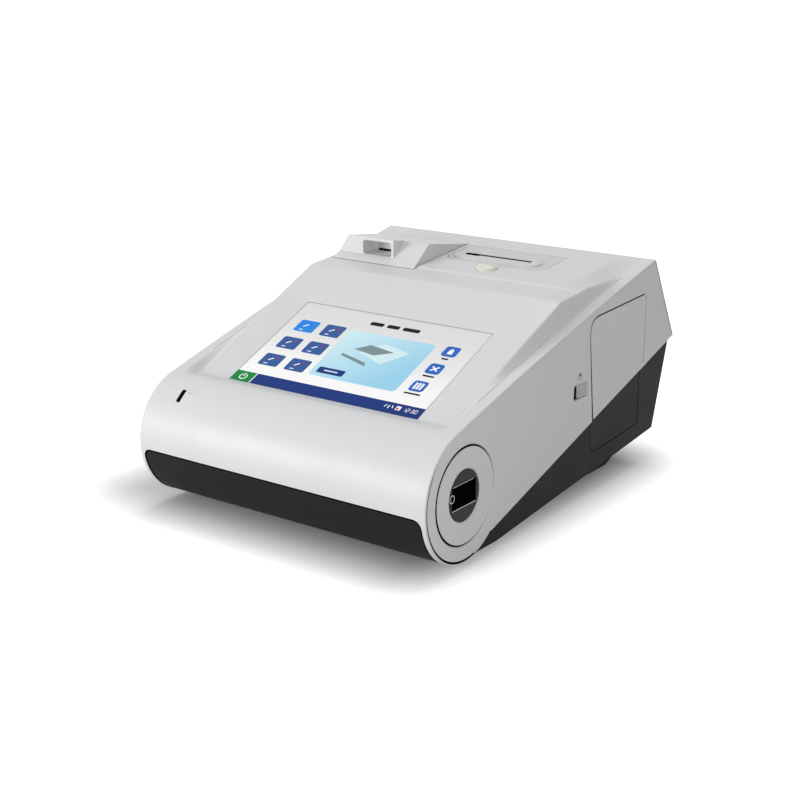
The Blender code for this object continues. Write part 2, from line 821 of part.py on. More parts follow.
PANEL_DROP = (PANEL_LIP + PANEL_SEAM) * math.hypot(1, WEDGE_SLOPE)
panel_loop = moved_out(lowered_side(PANEL_DROP), -PANEL_LIP - PANEL_SEAM)
panel_room = moved_out(lowered_side(PANEL_DROP + PANEL_LIP * 2), -PANEL_LIP)
rebates = outline("rebates", [panel_room], -HALF - CUT_OVER, HALF + CUT_OVER, "X")
between = HALF - REBATE
middle_block = block(
    "between_rebates",
    (-between, -BODY_WIDTH, -CUT_OVER),
    (between, BODY_WIDTH, BODY_WIDTH),
)
cut(rebates, middle_block)
cut(cover, rebates)
left_panel = outline(
    "left_side_panel", [panel_loop], -PANEL_FACE, -PANEL_BACK, "X", WHITE, EDGE_ROUND
)
ring_hole = circle(ROLL, RING_RADIUS + RING_SEAM, 48)
latch_hole = rounded((LATCH_FRONT_Y, LATCH_LOW_Z), (LATCH_BACK_Y, LATCH_HIGH_Z), LATCH_ROUND)
right_panel = outline(
    "right_side_panel",
    [panel_loop, ring_hole, latch_hole],
    PANEL_BACK,
    PANEL_FACE,
    "X",
    WHITE,
    EDGE_ROUND,
)

# Side door: outline of the white half, then of the dark half
HINGE_X = PANEL_FACE - PANEL_THICK / 2
DOOR_BACK_Y = DOOR_HINGE_Y + PANEL_THICK / 2
TAB_Z = wedge_z(DOOR_HINGE_Y) + DOOR_TAB_HIGH


def door_loop():
    """The white half of the door, clockwise from its lower front corner."""
    low = (DOOR_FRONT_LOW_Y, wedge_z(DOOR_FRONT_LOW_Y))
    high = (DOOR_FRONT_HIGH_Y, DOOR_FRONT_HIGH_Z)
    top = (DOOR_TOP_FRONT_Y, DOOR_TOP_FRONT_Z)
    back = (DOOR_BACK_Y, DOOR_TOP_BACK_Z)
    heading = Vector(high) - Vector(low)
    corner = Vector(high) + heading * ((top[1] - high[1]) / heading.y)
    points = [low, high]
    for share in CORNER_SHARES:
        one = Vector(high).lerp(corner, share)
        two = corner.lerp(Vector(top), share)
        points.append(tuple(one.lerp(two, share)))
    points.append(top)
    points += fillet(top, back, (back[0], TAB_Z), DOOR_BACK_ROUND)
    tab_front = DOOR_BACK_Y - DOOR_TAB_LONG
    points += [(DOOR_BACK_Y, TAB_Z), (tab_front, TAB_Z), (tab_front, wedge_z(tab_front))]
    return points


def door_foot_loop(top):
    """The dark half of the door below a given upper edge."""
    front = DOOR_FOOT_FRONT_Y
    corner = (front, DOOR_FOOT_Z)
    heel = (DOOR_BACK_Y, DOOR_FOOT_BACK_Z)
    return top + [heel] + fillet(heel, corner, (front, wedge_z(front)), DOOR_FOOT_ROUND)


def wedge_point(y, rise):
    return (y, wedge_z(y) + rise)


door_room = door_loop()
door_room = [(door_room[0][0], door_room[0][1] - CUT_OVER)] + door_room[1:]
door_room[-1] = (door_room[-1][0], door_room[-1][1] - CUT_OVER)
opening = outline(
    "door_opening",
    [moved_out(door_room, DOOR_SEAM)],
    PANEL_BACK - CUT_OVER,
    PANEL_FACE + CUT_OVER,
    "X",
)
cut(right_panel, opening)
door = outline("fluid_door_upper", [door_loop()], PANEL_BACK, PANEL_FACE, "X", WHITE)
back_cut = block(
    "door_back_cut",
    (PANEL_BACK - CUT_OVER, DOOR_HINGE_Y, ROLL_Z),
    (PANEL_FACE + CUT_OVER, DOOR_BACK_Y + CUT_OVER, BACK_TOP_Z),
)
knuckle_top = DOOR_TOP_BACK_Z - DOOR_BACK_ROUND
corner_cut = block(
    "door_corner_cut",
    (
        PANEL_BACK - CUT_OVER,
        DOOR_HINGE_Y - PANEL_THICK * DOOR_RELIEF_SHARE,
        knuckle_top + EDGE_ROUND / 2,
    ),
    (PANEL_FACE + CUT_OVER, DOOR_BACK_Y + CUT_OVER, BACK_TOP_Z),
)
knuckle = rod(
    "door_knuckle",
    PANEL_THICK / 2,
    (HINGE_X, DOOR_HINGE_Y, TAB_Z + EDGE_ROUND),
    (HINGE_X, DOOR_HINGE_Y, knuckle_top),
)
door_bore = rod(
    "door_bore",
    DOOR_PIN_RADIUS + PIN_PLAY,
    (HINGE_X, DOOR_HINGE_Y, TAB_Z - DOOR_PIN_END - SEAT_GAP),
    (HINGE_X, DOOR_HINGE_Y, DOOR_TOP_BACK_Z + DOOR_PIN_END + SEAT_GAP),
)
cut(door, back_cut, corner_cut)
fuse(door, knuckle)
latch_middle = (LATCH_LOW_Z + LATCH_HIGH_Z) / 2
rise = (latch_middle - DOOR_FRONT_LOW_Z) / (DOOR_FRONT_HIGH_Z - DOOR_FRONT_LOW_Z)
door_edge_y = DOOR_FRONT_LOW_Y + rise * (DOOR_FRONT_HIGH_Y - DOOR_FRONT_LOW_Y)
catch_front = door_edge_y + CATCH_SETBACK
catch_back = catch_front + CATCH_LIP
catch_root = PANEL_BACK + PANEL_THICK / 2
catch_end = PANEL_BACK - CATCH_DEEP
catch_loop = [
    (catch_root, catch_front),
    (catch_end, catch_front),
    (catch_end, catch_back + CATCH_REACH),
    (catch_end + CATCH_LIP, catch_back + CATCH_REACH),
    (catch_end + CATCH_LIP, catch_back),
    (catch_root, catch_back),
]
catch = outline(
    "door_catch",
    [catch_loop],
    latch_middle - CATCH_HIGH / 2,
    latch_middle + CATCH_HIGH / 2,
    "Z",
)
fuse(door, catch)
cut(door, door_bore)
cut(right_panel, door_bore)
door_pin = rod(
    "door_hinge_pin",
    DOOR_PIN_RADIUS,
    (HINGE_X, DOOR_HINGE_Y, TAB_Z - DOOR_PIN_END),
    (HINGE_X, DOOR_HINGE_Y, DOOR_TOP_BACK_Z + DOOR_PIN_END),
    STEEL,
)
BASE_SKIN = BASE_HALF - WALL
# The dark half laps behind the white half. At the hinge it stays level below the panel's tab,
# because this end of it swings forward under the tab, where the panel's edge is lower.
TAB_FRONT_Y = DOOR_BACK_Y - DOOR_TAB_LONG
TAB_FOOT_Z = wedge_z(TAB_FRONT_Y) - DOOR_SEAM * 1.5
door_foot_top = [
    wedge_point(DOOR_FOOT_FRONT_Y, BASE_LAP),
    wedge_point(TAB_FRONT_Y, BASE_LAP),
    (TAB_FRONT_Y, TAB_FOOT_Z),
    (DOOR_BACK_Y, TAB_FOOT_Z),
]
door_foot = outline(
    "fluid_door_lower", [door_foot_loop(door_foot_top)], BASE_SKIN, BASE_HALF, "X", CHARCOAL
)


# Dark base: band, floor and rear wall in one, with its sides behind the white panels
def base_lower():
    """The base's outer line from the band's top round the floor to the rear wall's top."""
    skin = ROLL_RADIUS - SEAT_GAP
    points = arc(ROLL, skin, BAND_TOP - BAND_SEAM / skin, -math.pi / 2, 16)
    points.append((BASE_FLAT_Y, points[-1][1]))
    points.append((BASE_REAR_FOOT_Y, BASE_REAR_FOOT_Z))
    points.append((BASE_REAR_TOP_Y, REAR_Z - BASE_REAR_DROP))
    return points


def base_loop():
    lower = base_lower()
    top_front = lower[0]
    back = lower[-1]
    inner = [
        (back[0] - WALL - SEAT_GAP, back[1] - WALL / 2),
        (back[0] - WALL - BASE_LAP, wedge_z(back[0] - WALL - BASE_LAP) + BASE_LAP),
        (ROLL_Y + ROLL_RADIUS, wedge_z(ROLL_Y + ROLL_RADIUS) + BASE_LAP),
        (BASE_FRONT_DIP_Y, wedge_z(ROLL_Y + ROLL_RADIUS) + BASE_LAP),
        (BASE_BAND_BACK_Y, top_front[1]),
    ]
    return lower + inner


base = outline("base_housing", [base_loop()], -BASE_HALF, BASE_HALF, "X", CHARCOAL)
belly_low = base_lower()[-4][1]
belly = outline(
    "belly",
    [
        [
            (BELLY_FRONT_Y, belly_low + WALL),
            (BELLY_FRONT_Y + WALL, belly_low),
            (BELLY_BACK_Y, belly_low),
            (BELLY_RISE_Y, BASE_REAR_FOOT_Z / 2),
            (BELLY_RISE_Y, BASE_REAR_FOOT_Z),
            (BELLY_FRONT_Y, belly_low + WALL * 2),
        ]
    ],
    -BELLY_HALF,
    BELLY_HALF,
    "X",
)
fuse(base, belly)
hollow_line = moved_out(base_lower(), WALL, closed=False)
head_room = REAR_Z + BASE_LAP * 2
hollow = outline(
    "base_hollow",
    [hollow_line + [(hollow_line[-1][0], head_room), (hollow_line[0][0], head_room)]],
    -BASE_SKIN,
    BASE_SKIN,
    "X",
)
belly_hollow = outline(
    "belly_hollow",
    [
        [
            (BELLY_FRONT_Y + WALL * 2, belly_low + WALL),
            (BELLY_BACK_Y - WALL / 2, belly_low + WALL),
            (BELLY_RISE_Y - WALL, BASE_REAR_FOOT_Z / 2 + WALL / 2),
            (BELLY_RISE_Y - WALL, head_room / 2),
            (BELLY_FRONT_Y + WALL * 2, head_room / 2),
        ]
    ],
    WALL - BELLY_HALF,
    BELLY_HALF - WALL,
    "X",
)
cut(base, hollow, belly_hollow)
for number, (x, y) in enumerate(
    ((-POST_X, POST_FRONT_Y), (POST_X, POST_FRONT_Y), (-POST_X, POST_BACK_Y), (POST_X, POST_BACK_Y))
):
    post = rod(
        f"post_{number + 1}",
        POST_RADIUS,
        (x, y, belly_low + WALL / 2),
        (x, y, CHASSIS_Z - SEAT_GAP),
        sides=16,
    )
    fuse(base, post)
door_foot_room = [
    wedge_point(DOOR_FOOT_FRONT_Y, BASE_LAP * 3),
    wedge_point(DOOR_BACK_Y, BASE_LAP * 3),
]
base_door_room = outline(
    "base_door_opening",
    [moved_out(door_foot_loop(door_foot_room), DOOR_SEAM)],
    BASE_SKIN - CUT_OVER,
    BASE_HALF + CUT_OVER,
    "X",
)
cut(base, base_door_room)
trim_half = HALF + CUT_OVER
band_keep = band_half - BAND_SEAM
band_trim = outline(
    "band_trim",
    [
        [
            (-trim_half, -ROLL_RADIUS),
            (-trim_half, ROLL_Z),
            (trim_half, ROLL_Z),
            (trim_half, -ROLL_RADIUS),
        ],
        rounded((-band_keep, -ROLL_RADIUS / 2), (band_keep, band_high - BAND_SEAM), BAND_CORNER),
    ],
    ROLL_Y - ROLL_RADIUS - CUT_OVER,
    BAND_END_Y,
    "Y",
)
cut(base, band_trim)
ring_room = rod(
    "ring_room",
    RING_RADIUS + RING_ROOM,
    (BASE_SKIN - CUT_OVER, ROLL_Y, ROLL_Z),
    (BASE_HALF + CUT_OVER, ROLL_Y, ROLL_Z),
    sides=40,
)
cut(base, ring_room)
for number in range(2 * HOLE_ROW_SIZE):
    column, row = number % HOLE_ROW_SIZE, number // HOLE_ROW_SIZE
    turn = SPEAKER_ANGLE - row * HOLE_PITCH / ROLL_RADIUS
    x = SPEAKER_X + (column - (HOLE_ROW_SIZE - 1) / 2 + row / 2) * HOLE_PITCH
    out = Vector((0, -math.cos(turn), math.sin(turn)))
    centre = Vector((x, ROLL_Y, ROLL_Z))
    hole = rod(
        f"speaker_hole_{number + 1}",
        HOLE_RADIUS,
        centre + out * (ROLL_RADIUS - WALL - CUT_OVER / 2),
        centre + out * (ROLL_RADIUS + CUT_OVER),
        sides=8,
    )
    cut(base, hole)

feet = []
for name, x, y in (
    ("foot_front_left", -FOOT_X, FOOT_FRONT_Y),
    ("foot_front_right", FOOT_X, FOOT_FRONT_Y),
    ("foot_rear_left", -FOOT_X, FOOT_BACK_Y),
    ("foot_rear_right", FOOT_X, FOOT_BACK_Y),
):
    foot = rod(name, FOOT_RADIUS, (x, y, 0), (x, y, belly_low - SEAT_GAP), RUBBER, sides=20)
    feet.append(soften(foot, FOOT_ROUND))

# Scanner in the right end of the roll
ring_face = HALF
ring_profile = [
    (RING_BORE, 0),
    (RING_BORE + RING_DOME, RING_DOME / 4),
    (RING_RADIUS - RING_ROUND, RING_DOME / 4),
    (RING_RADIUS, -RING_ROUND / 2),
    (RING_RADIUS, -RING_DEEP),
    (RING_BORE - RING_LIP, -RING_DEEP),
    (RING_BORE - RING_LIP, -WINDOW_SINK - WINDOW_THICK - SEAT_GAP),
    (RING_BORE, -WINDOW_SINK - WINDOW_THICK - SEAT_GAP),
]
ring_out = HALF - RING_DOME / 4
turned("scanner_ring", ring_profile, side_frame(ring_out, ROLL_Y, ROLL_Z), WHITE, 40)
rod(
    "scanner_window",
    RING_BORE - SEAT_GAP,
    (ring_out - WINDOW_SINK - WINDOW_THICK, ROLL_Y, ROLL_Z),
    (ring_out - WINDOW_SINK, ROLL_Y, ROLL_Z),
    BLACK,
    sides=40,
)
engine_front = ring_out - RING_DEEP - ENGINE_BACKSET
engine = block(
    "scan_engine",
    (engine_front - ENGINE_SIZE[0], ROLL_Y - ENGINE_SIZE[1] / 2, ROLL_Z - ENGINE_SIZE[2] / 2),
    (engine_front, ROLL_Y + ENGINE_SIZE[1] / 2, ROLL_Z + ENGINE_SIZE[2] / 2),
    BLACK,
    EDGE_ROUND,
)
lens = rod(
    "engine_lens",
    LENS_RADIUS,
    (engine_front - LENS_LONG, ROLL_Y, ROLL_Z),
    (engine_front + LENS_LONG, ROLL_Y, ROLL_Z),
)
fuse(engine, lens)
bracket_low = ROLL_Z - ENGINE_SIZE[2] / 2 - SEAT_GAP
bracket_back = engine_front - ENGINE_SIZE[0] - SEAT_GAP
floor_top = belly_low + WALL + SEAT_GAP
bracket_loop = [
    (bracket_back, ROLL_Z + ENGINE_SIZE[2] / 2),
    (bracket_back - BRACKET_THICK, ROLL_Z + ENGINE_SIZE[2] / 2),
    (bracket_back - BRACKET_THICK, floor_top),
    (engine_front - BRACKET_SIDE, floor_top),
    (engine_front - BRACKET_SIDE, floor_top + BRACKET_THICK),
    (bracket_back, floor_top + BRACKET_THICK),
    (bracket_back, bracket_low - BRACKET_THICK),
    (engine_front - BRACKET_SIDE, bracket_low - BRACKET_THICK),
    (engine_front - BRACKET_SIDE, bracket_low),
    (bracket_back, bracket_low),
]
outline(
    "scan_bracket",
    [bracket_loop],
    ROLL_Y - BRACKET_SIDE,
    ROLL_Y + BRACKET_SIDE,
    "Y",
    STEEL,
)

# Screen and its tray, square to the deck
rise_half = SCREEN_HIGH / 2
screen_y = SCREEN_FOOT_Y + rise_half * math.cos(DECK_ANGLE)
DECK = deck_frame(screen_y)
screen_low = (-SCREEN_WIDE / 2, -rise_half)
screen_high = (SCREEN_WIDE / 2, rise_half)
glass_half = (SCREEN_WIDE / 2 + GLASS_BORDER, rise_half + GLASS_BORDER)
cut(
    cover,
    outline(
        "screen_opening",
        [rounded(screen_low, screen_high, EDGE_ROUND)],
        -WALL - CUT_OVER / 2,
        CUT_OVER,
        "Z",
        place=DECK,
    ),
)


def frame_loops(outer, inner, corner):
    return [
        rounded((-outer[0], -outer[1]), outer, corner),
        rounded((-inner[0], -inner[1]), inner, corner / 2),
    ]


gasket_top = -WALL - SEAT_GAP
outline(
    "display_gasket",
    frame_loops(glass_half, (SCREEN_WIDE / 2 + EDGE_ROUND, rise_half + EDGE_ROUND), EDGE_ROUND * 2),
    gasket_top - GASKET_THICK,
    gasket_top,
    "Z",
    RUBBER,
    place=DECK,
)
glass_top = gasket_top - GASKET_THICK - SEAT_GAP
glass = block(
    "display_glass",
    (-glass_half[0], -glass_half[1], glass_top - GLASS_THICK),
    (glass_half[0], glass_half[1], glass_top),
    SCREEN,
    EDGE_ROUND / 2,
    place=DECK,
)
pane = block(
    "glass_pane",
    (SEAT_GAP - SCREEN_WIDE / 2, SEAT_GAP - rise_half, glass_top - GLASS_THICK / 2),
    (SCREEN_WIDE / 2 - SEAT_GAP, rise_half - SEAT_GAP, -GLASS_SINK),
    place=DECK,
)
fuse(glass, pane)
lcd_half = (SCREEN_WIDE / 2 + LCD_BORDER, rise_half + LCD_BORDER)
lcd_top = glass_top - GLASS_THICK - SEAT_GAP
block(
    "lcd_module",
    (-lcd_half[0], -lcd_half[1], lcd_top - LCD_THICK),
    (lcd_half[0], lcd_half[1], lcd_top),
    ALLOY,
    EDGE_ROUND,
    place=DECK,
)
tray_half = (
    glass_half[0] + SEAT_GAP + TRAY_WALL,
    glass_half[1] + SEAT_GAP + TRAY_WALL,
)
tray_bottom = lcd_top - LCD_THICK - SEAT_GAP - TRAY_WALL
tray = block(
    "display_tray",
    (-tray_half[0], -tray_half[1], tray_bottom),
    (tray_half[0], tray_half[1], gasket_top - GASKET_THICK),
    CHARCOAL,
    place=DECK,
)
tray_pocket = block(
    "tray_pocket",
    (-glass_half[0] - SEAT_GAP, -glass_half[1] - SEAT_GAP, tray_bottom + TRAY_WALL),
    (glass_half[0] + SEAT_GAP, glass_half[1] + SEAT_GAP, CUT_OVER),
    place=DECK,
)
window_half = [side * TRAY_WINDOW_SHARE for side in lcd_half]
tray_window = block(
    "tray_window",
    (-window_half[0], -window_half[1], tray_bottom - CUT_OVER),
    (window_half[0], window_half[1], CUT_OVER),
    place=DECK,
)
cut(tray, tray_pocket, tray_window)

# Status light
LIGHT = (
    Matrix.Translation((LIGHT_X, ROLL_Y, ROLL_Z))
    @ Matrix.Rotation(math.pi / 2 - LIGHT_ANGLE, 4, "X")
    @ Matrix.Translation((0, 0, ROLL_RADIUS))
)
light_half = (LIGHT_WIDE / 2, LIGHT_LONG / 2)
cut(
    cover,
    block(
        "light_opening",
        (-light_half[0], -light_half[1], -LIGHT_DEEP * 2),
        (light_half[0], light_half[1], LIGHT_DEEP),
        place=LIGHT,
    ),
)
block(
    "status_light_window",
    (SEAT_GAP / 2 - light_half[0], SEAT_GAP / 2 - light_half[1], -LIGHT_DEEP),
    (light_half[0] - SEAT_GAP / 2, light_half[1] - SEAT_GAP / 2, -SEAT_GAP),
    BLACK,
    place=LIGHT,
)


# Card port: a block let into the cover, with a snout at its left and a slanted wing at its right
PORT_TOP_Z = top_z(PORT_FRONT_Y)
PORT_FLOOR_Z = PORT_TOP_Z - PORT_FLOOR_DROP
SNOUT_TOP_Z = PORT_TOP_Z + SNOUT_RISE
WING_TOP_Z = SNOUT_TOP_Z - WING_DROP
MOUTH_HIGH_Z = SNOUT_TOP_Z - MOUTH_ROOF
WING_SLOPE = (WING_TOP_Z - top_z(PORT_FRONT_Y)) / (WING_TOP_Y - PORT_FRONT_Y)
LIP_Z = top_z(PORT_FRONT_Y) + WING_SLOPE * (SNOUT_FACE_Y - PORT_FRONT_Y)
ROOF_SLOPE = (crown_z(PORT_BACK_Y) - SNOUT_TOP_Z) / (PORT_BACK_Y - SNOUT_FACE_Y)
snout_side = [
    (PORT_FRONT_Y, PORT_FLOOR_Z),
    (PORT_FRONT_Y, top_z(PORT_FRONT_Y)),
    (SNOUT_FACE_Y, LIP_Z),
    (SNOUT_FACE_Y, SNOUT_TOP_Z),
    (PORT_BACK_Y, crown_z(PORT_BACK_Y)),
    (PORT_BACK_Y, PORT_FLOOR_Z),
]
wing_run = (SNOUT_TOP_Z - top_z(PORT_FRONT_Y) + ROOF_SLOPE * (PORT_FRONT_Y - SNOUT_FACE_Y)) / (
    WING_SLOPE - ROOF_SLOPE
)
wing_peak = (PORT_FRONT_Y + wing_run, top_z(PORT_FRONT_Y) + WING_SLOPE * wing_run)
wing_side = snout_side[:2] + [wing_peak] + snout_side[4:]


def hollow_of(side, wall):
    inner = moved_out(side, -wall)
    inner[0] = (inner[0][0], inner[0][1] - wall - CUT_OVER)
    inner[-1] = (inner[-1][0], inner[-1][1] - wall - CUT_OVER)
    return inner


port = outline("card_port_housing", [snout_side], PORT_LEFT, PORT_RIGHT, "X", WHITE)
over_wing = outline(
    "over_wing",
    [
        [
            (SNOUT_FACE_Y - CUT_OVER, LIP_Z - WING_SLOPE * CUT_OVER),
            (SNOUT_FACE_Y - CUT_OVER, SNOUT_TOP_Z + CUT_OVER),
            (wing_peak[0] + CUT_OVER, SNOUT_TOP_Z + CUT_OVER),
            (wing_peak[0] + CUT_OVER, wing_peak[1] + WING_SLOPE * CUT_OVER),
        ]
    ],
    SNOUT_RIGHT,
    PORT_RIGHT + CUT_OVER,
    "X",
)
snout_rise = SNOUT_TOP_Z - crown_z(SNOUT_FACE_Y)
lean_loop = [
    (PORT_LEFT - CUT_OVER, RIDGE_RISE),
    (PORT_LEFT, RIDGE_RISE),
    (PORT_LEFT + SNOUT_LEAN, snout_rise),
    (PORT_LEFT + SNOUT_LEAN * 1.5, snout_rise * 1.5),
    (PORT_LEFT - CUT_OVER, snout_rise * 1.5),
]
roof = crown_frame(0, PORT_FRONT_Y)
leaning = outline("leaning_side", [lean_loop], -CUT_OVER, PORT_BACK_Y, "Y", place=roof)
cut(port, over_wing, leaning)
left_hollow = outline(
    "snout_hollow",
    [hollow_of(snout_side, PORT_WALL)],
    PORT_LEFT + PORT_WALL,
    SNOUT_RIGHT - PORT_WALL,
    "X",
)
inner_lean = outline(
    "inner_lean",
    [[(x + PORT_WALL * 1.2, z) for x, z in lean_loop]],
    -CUT_OVER,
    PORT_BACK_Y,
    "Y",
    place=roof,
)
cut(left_hollow, inner_lean)
right_hollow = outline(
    "wing_hollow",
    [hollow_of(wing_side, PORT_WALL + SEAT_GAP)],
    SNOUT_RIGHT - PORT_WALL * 1.5,
    PORT_RIGHT - PORT_WALL,
    "X",
)
cut(port, left_hollow, right_hollow)
mouth_end = SNOUT_FACE_Y + MOUTH_DEEP
mouth_side = [
    (SNOUT_FACE_Y, LIP_Z),
    (SNOUT_FACE_Y, MOUTH_HIGH_Z),
    (mouth_end, MOUTH_HIGH_Z + ROOF_SLOPE * MOUTH_DEEP),
    (mouth_end, LIP_Z),
]
sleeve_side = moved_out(mouth_side, PORT_FLOOR_THICK)
sleeve_side[0] = (SNOUT_FACE_Y + PORT_WALL / 2, sleeve_side[0][1])
sleeve_side[1] = (SNOUT_FACE_Y + PORT_WALL / 2, sleeve_side[1][1] + ROOF_SLOPE * PORT_WALL)
sleeve = outline(
    "mouth_sleeve",
    [sleeve_side],
    MOUTH_LEFT - PORT_FLOOR_THICK,
    MOUTH_RIGHT + PORT_FLOOR_THICK,
    "X",
)
fuse(port, sleeve)
mouth_cut = [
    (SNOUT_FACE_Y - CUT_OVER, LIP_Z),
    (SNOUT_FACE_Y - CUT_OVER, MOUTH_HIGH_Z - ROOF_SLOPE * CUT_OVER),
] + mouth_side[2:]
mouth = outline("mouth", [mouth_cut], MOUTH_LEFT, MOUTH_RIGHT, "X", edge=EDGE_ROUND * 3)
slot = block(
    "card_slot",
    (MOUTH_LEFT + PORT_WALL, mouth_end - CUT_OVER / 2, LIP_Z + SEAT_GAP),
    (MOUTH_RIGHT - PORT_WALL, mouth_end + CUT_OVER, LIP_Z + SLOT_HIGH / 2),
)
cut(port, mouth, slot)

# Card guide behind the mouth, open below where the contacts rise
port_middle = (MOUTH_LEFT + MOUTH_RIGHT) / 2
guide_front = mouth_end + PORT_FLOOR_THICK + SEAT_GAP
guide_back = mouth_end + SLOT_DEEP - CUT_OVER
guide = block(
    "card_guide",
    (MOUTH_LEFT - PORT_WALL, guide_front, LIP_Z - PORT_WALL),
    (MOUTH_RIGHT + PORT_WALL, guide_back, LIP_Z + SLOT_HIGH * 0.7),
    CHARCOAL,
    EDGE_ROUND / 2,
)
channel = block(
    "card_channel",
    (MOUTH_LEFT + PORT_WALL, guide_front - CUT_OVER, LIP_Z),
    (MOUTH_RIGHT - PORT_WALL, guide_back - PORT_WALL, LIP_Z + SLOT_HIGH / 2),
)
nose_half = [side / 2 for side in HEAD_NOSE]
contact_window = block(
    "contact_window",
    (port_middle - nose_half[0] - RUN_GAP, HEAD_Y - nose_half[1] - RUN_GAP, PORT_FLOOR_Z),
    (port_middle + nose_half[0] + RUN_GAP, HEAD_Y + nose_half[1] + RUN_GAP, LIP_Z + RUN_GAP),
)
cut(guide, channel, contact_window)

# Contact head with its lead screw, motor and frame
head_top = LIP_Z - PORT_WALL - LIFT_TRAVEL - SEAT_GAP * 2
head_low = head_top - HEAD_THICK
head = block(
    "contact_head",
    (port_middle - HEAD_WIDE / 2, HEAD_Y - HEAD_LONG / 2, head_low),
    (port_middle + HEAD_WIDE / 2, HEAD_Y + HEAD_LONG / 2, head_top),
    CHARCOAL,
    EDGE_ROUND,
)
nose = block(
    "contact_nose",
    (port_middle - nose_half[0], HEAD_Y - nose_half[1], head_low + HEAD_THICK / 2),
    (port_middle + nose_half[0], HEAD_Y + nose_half[1], LIP_Z - HEAD_NOSE_DROP),
)
nut_low = head_low - NUT_RADIUS
nut = rod("lift_nut", NUT_RADIUS, (port_middle, HEAD_Y, nut_low), (port_middle, HEAD_Y, head_top))
fuse(head, nose, nut)
frame_top = PORT_FLOOR_Z - SEAT_GAP
frame_low = frame_top - LIFT_FRAME_DEEP
screw_top = head_top - EDGE_ROUND
bores = [
    rod(
        "screw_bore",
        SCREW_RADIUS + PIN_PLAY,
        (port_middle, HEAD_Y, nut_low - CUT_OVER),
        (port_middle, HEAD_Y, screw_top + EDGE_ROUND / 2),
    )
]
frame_middle = [
    (PORT_LEFT + EDGE_ROUND, frame_top),
    (port_middle - LIFT_FRAME_HALF + LIFT_SHEET, frame_top),
    (port_middle - LIFT_FRAME_HALF + LIFT_SHEET, frame_low + LIFT_SHEET),
    (port_middle + LIFT_FRAME_HALF - LIFT_SHEET, frame_low + LIFT_SHEET),
    (port_middle + LIFT_FRAME_HALF - LIFT_SHEET, frame_top),
    (PORT_RIGHT - EDGE_ROUND, frame_top),
    (PORT_RIGHT - EDGE_ROUND, frame_top - LIFT_SHEET),
    (port_middle + LIFT_FRAME_HALF, frame_top - LIFT_SHEET),
    (port_middle + LIFT_FRAME_HALF, frame_low),
    (port_middle - LIFT_FRAME_HALF, frame_low),
    (port_middle - LIFT_FRAME_HALF, frame_top - LIFT_SHEET),
    (PORT_LEFT + EDGE_ROUND, frame_top - LIFT_SHEET),
]
lift_frame = outline(
    "lift_frame",
    [frame_middle],
    HEAD_Y - HEAD_LONG / 3,
    HEAD_Y + HEAD_LONG / 3,
    "Y",
    STEEL,
)
for name, side in (("left", -1), ("right", 1)):
    x = port_middle + side * ROD_SPAN / 2
    low = (x, HEAD_Y, frame_low + LIFT_SHEET / 2)
    high = (x, HEAD_Y, head_top - SEAT_GAP)
    fuse(lift_frame, rod(f"lift_rod_{side}", ROD_RADIUS, low, high, sides=16))
    bores.append(rod(f"rod_bore_{side}", ROD_RADIUS + PIN_PLAY, low, (x, HEAD_Y, LIP_Z), sides=16))
cut(head, *bores)
motor_low = frame_low + LIFT_SHEET + SEAT_GAP
motor_top = motor_low + LIFT_MOTOR_LONG
lift_motor = rod(
    "lift_motor",
    LIFT_MOTOR_RADIUS - ROD_RADIUS / 2,
    (port_middle, HEAD_Y, motor_low),
    (port_middle, HEAD_Y, motor_top),
    STEEL,
    sides=32,
)
screw_low = motor_top - LIFT_MOTOR_LONG / 3
motor_bore = rod(
    "lift_motor_bore",
    SCREW_RADIUS + PIN_PLAY,
    (port_middle, HEAD_Y, screw_low - SEAT_GAP),
    (port_middle, HEAD_Y, motor_top + CUT_OVER),
)
cut(lift_motor, motor_bore)
rod(
    "lift_screw",
    SCREW_RADIUS,
    (port_middle, HEAD_Y, screw_low),
    (port_middle, HEAD_Y, screw_top),
    BRASS,
)
port_room = [
    (PORT_LEFT - LID_SEAM, PORT_FRONT_Y - LID_SEAM),
    (PORT_LEFT - LID_SEAM, PORT_BACK_Y + LID_SEAM),
    (PORT_RIGHT + LID_SEAM, PORT_BACK_Y + LID_SEAM),
    (PORT_RIGHT + LID_SEAM, PORT_FRONT_Y - LID_SEAM),
]
cut(cover, outline("port_opening", [port_room], PORT_FLOOR_Z, BACK_TOP_Z + CUT_OVER, "Z"))

# Printer lid with its raised lip, hinge pin and release button
LID = crown_frame(0, LID_HINGE_Y)
lid_long = LID_HINGE_Y - LID_FRONT_Y
lid_loop = [
    (LID_LEFT, 0),
    (LID_LEFT, LID_CORNER - lid_long),
    *arc((LID_LEFT + LID_CORNER, LID_CORNER - lid_long), LID_CORNER, 0, -math.pi / 2, 5)[1:],
    *arc((LID_RIGHT - LID_CORNER, LID_CORNER - lid_long), LID_CORNER, -math.pi / 2, -math.pi, 5),
    (LID_RIGHT, 0),
]
lid = outline("printer_lid", [lid_loop], -LID_THICK, 0, "Z", SILVER_GREY, place=LID)
lid_roll = rod(
    "lid_roll",
    LID_THICK / 2,
    (LID_LEFT, 0, -LID_THICK / 2),
    (LID_RIGHT, 0, -LID_THICK / 2),
    place=LID,
)
lip_low = (LIP_LEFT, LIP_FRONT_Y - LID_HINGE_Y)
lip_high = (LIP_RIGHT, LIP_BACK_Y - LID_HINGE_Y)
lip_round = (LIP_BACK_Y - LIP_FRONT_Y) / 2 - EDGE_ROUND
lip = outline(
    "lid_lip",
    [rounded(lip_low, lip_high, lip_round, 6)],
    -LID_THICK / 2,
    LIP_RISE,
    "Z",
    edge=EDGE_ROUND / 2,
    place=LID,
)
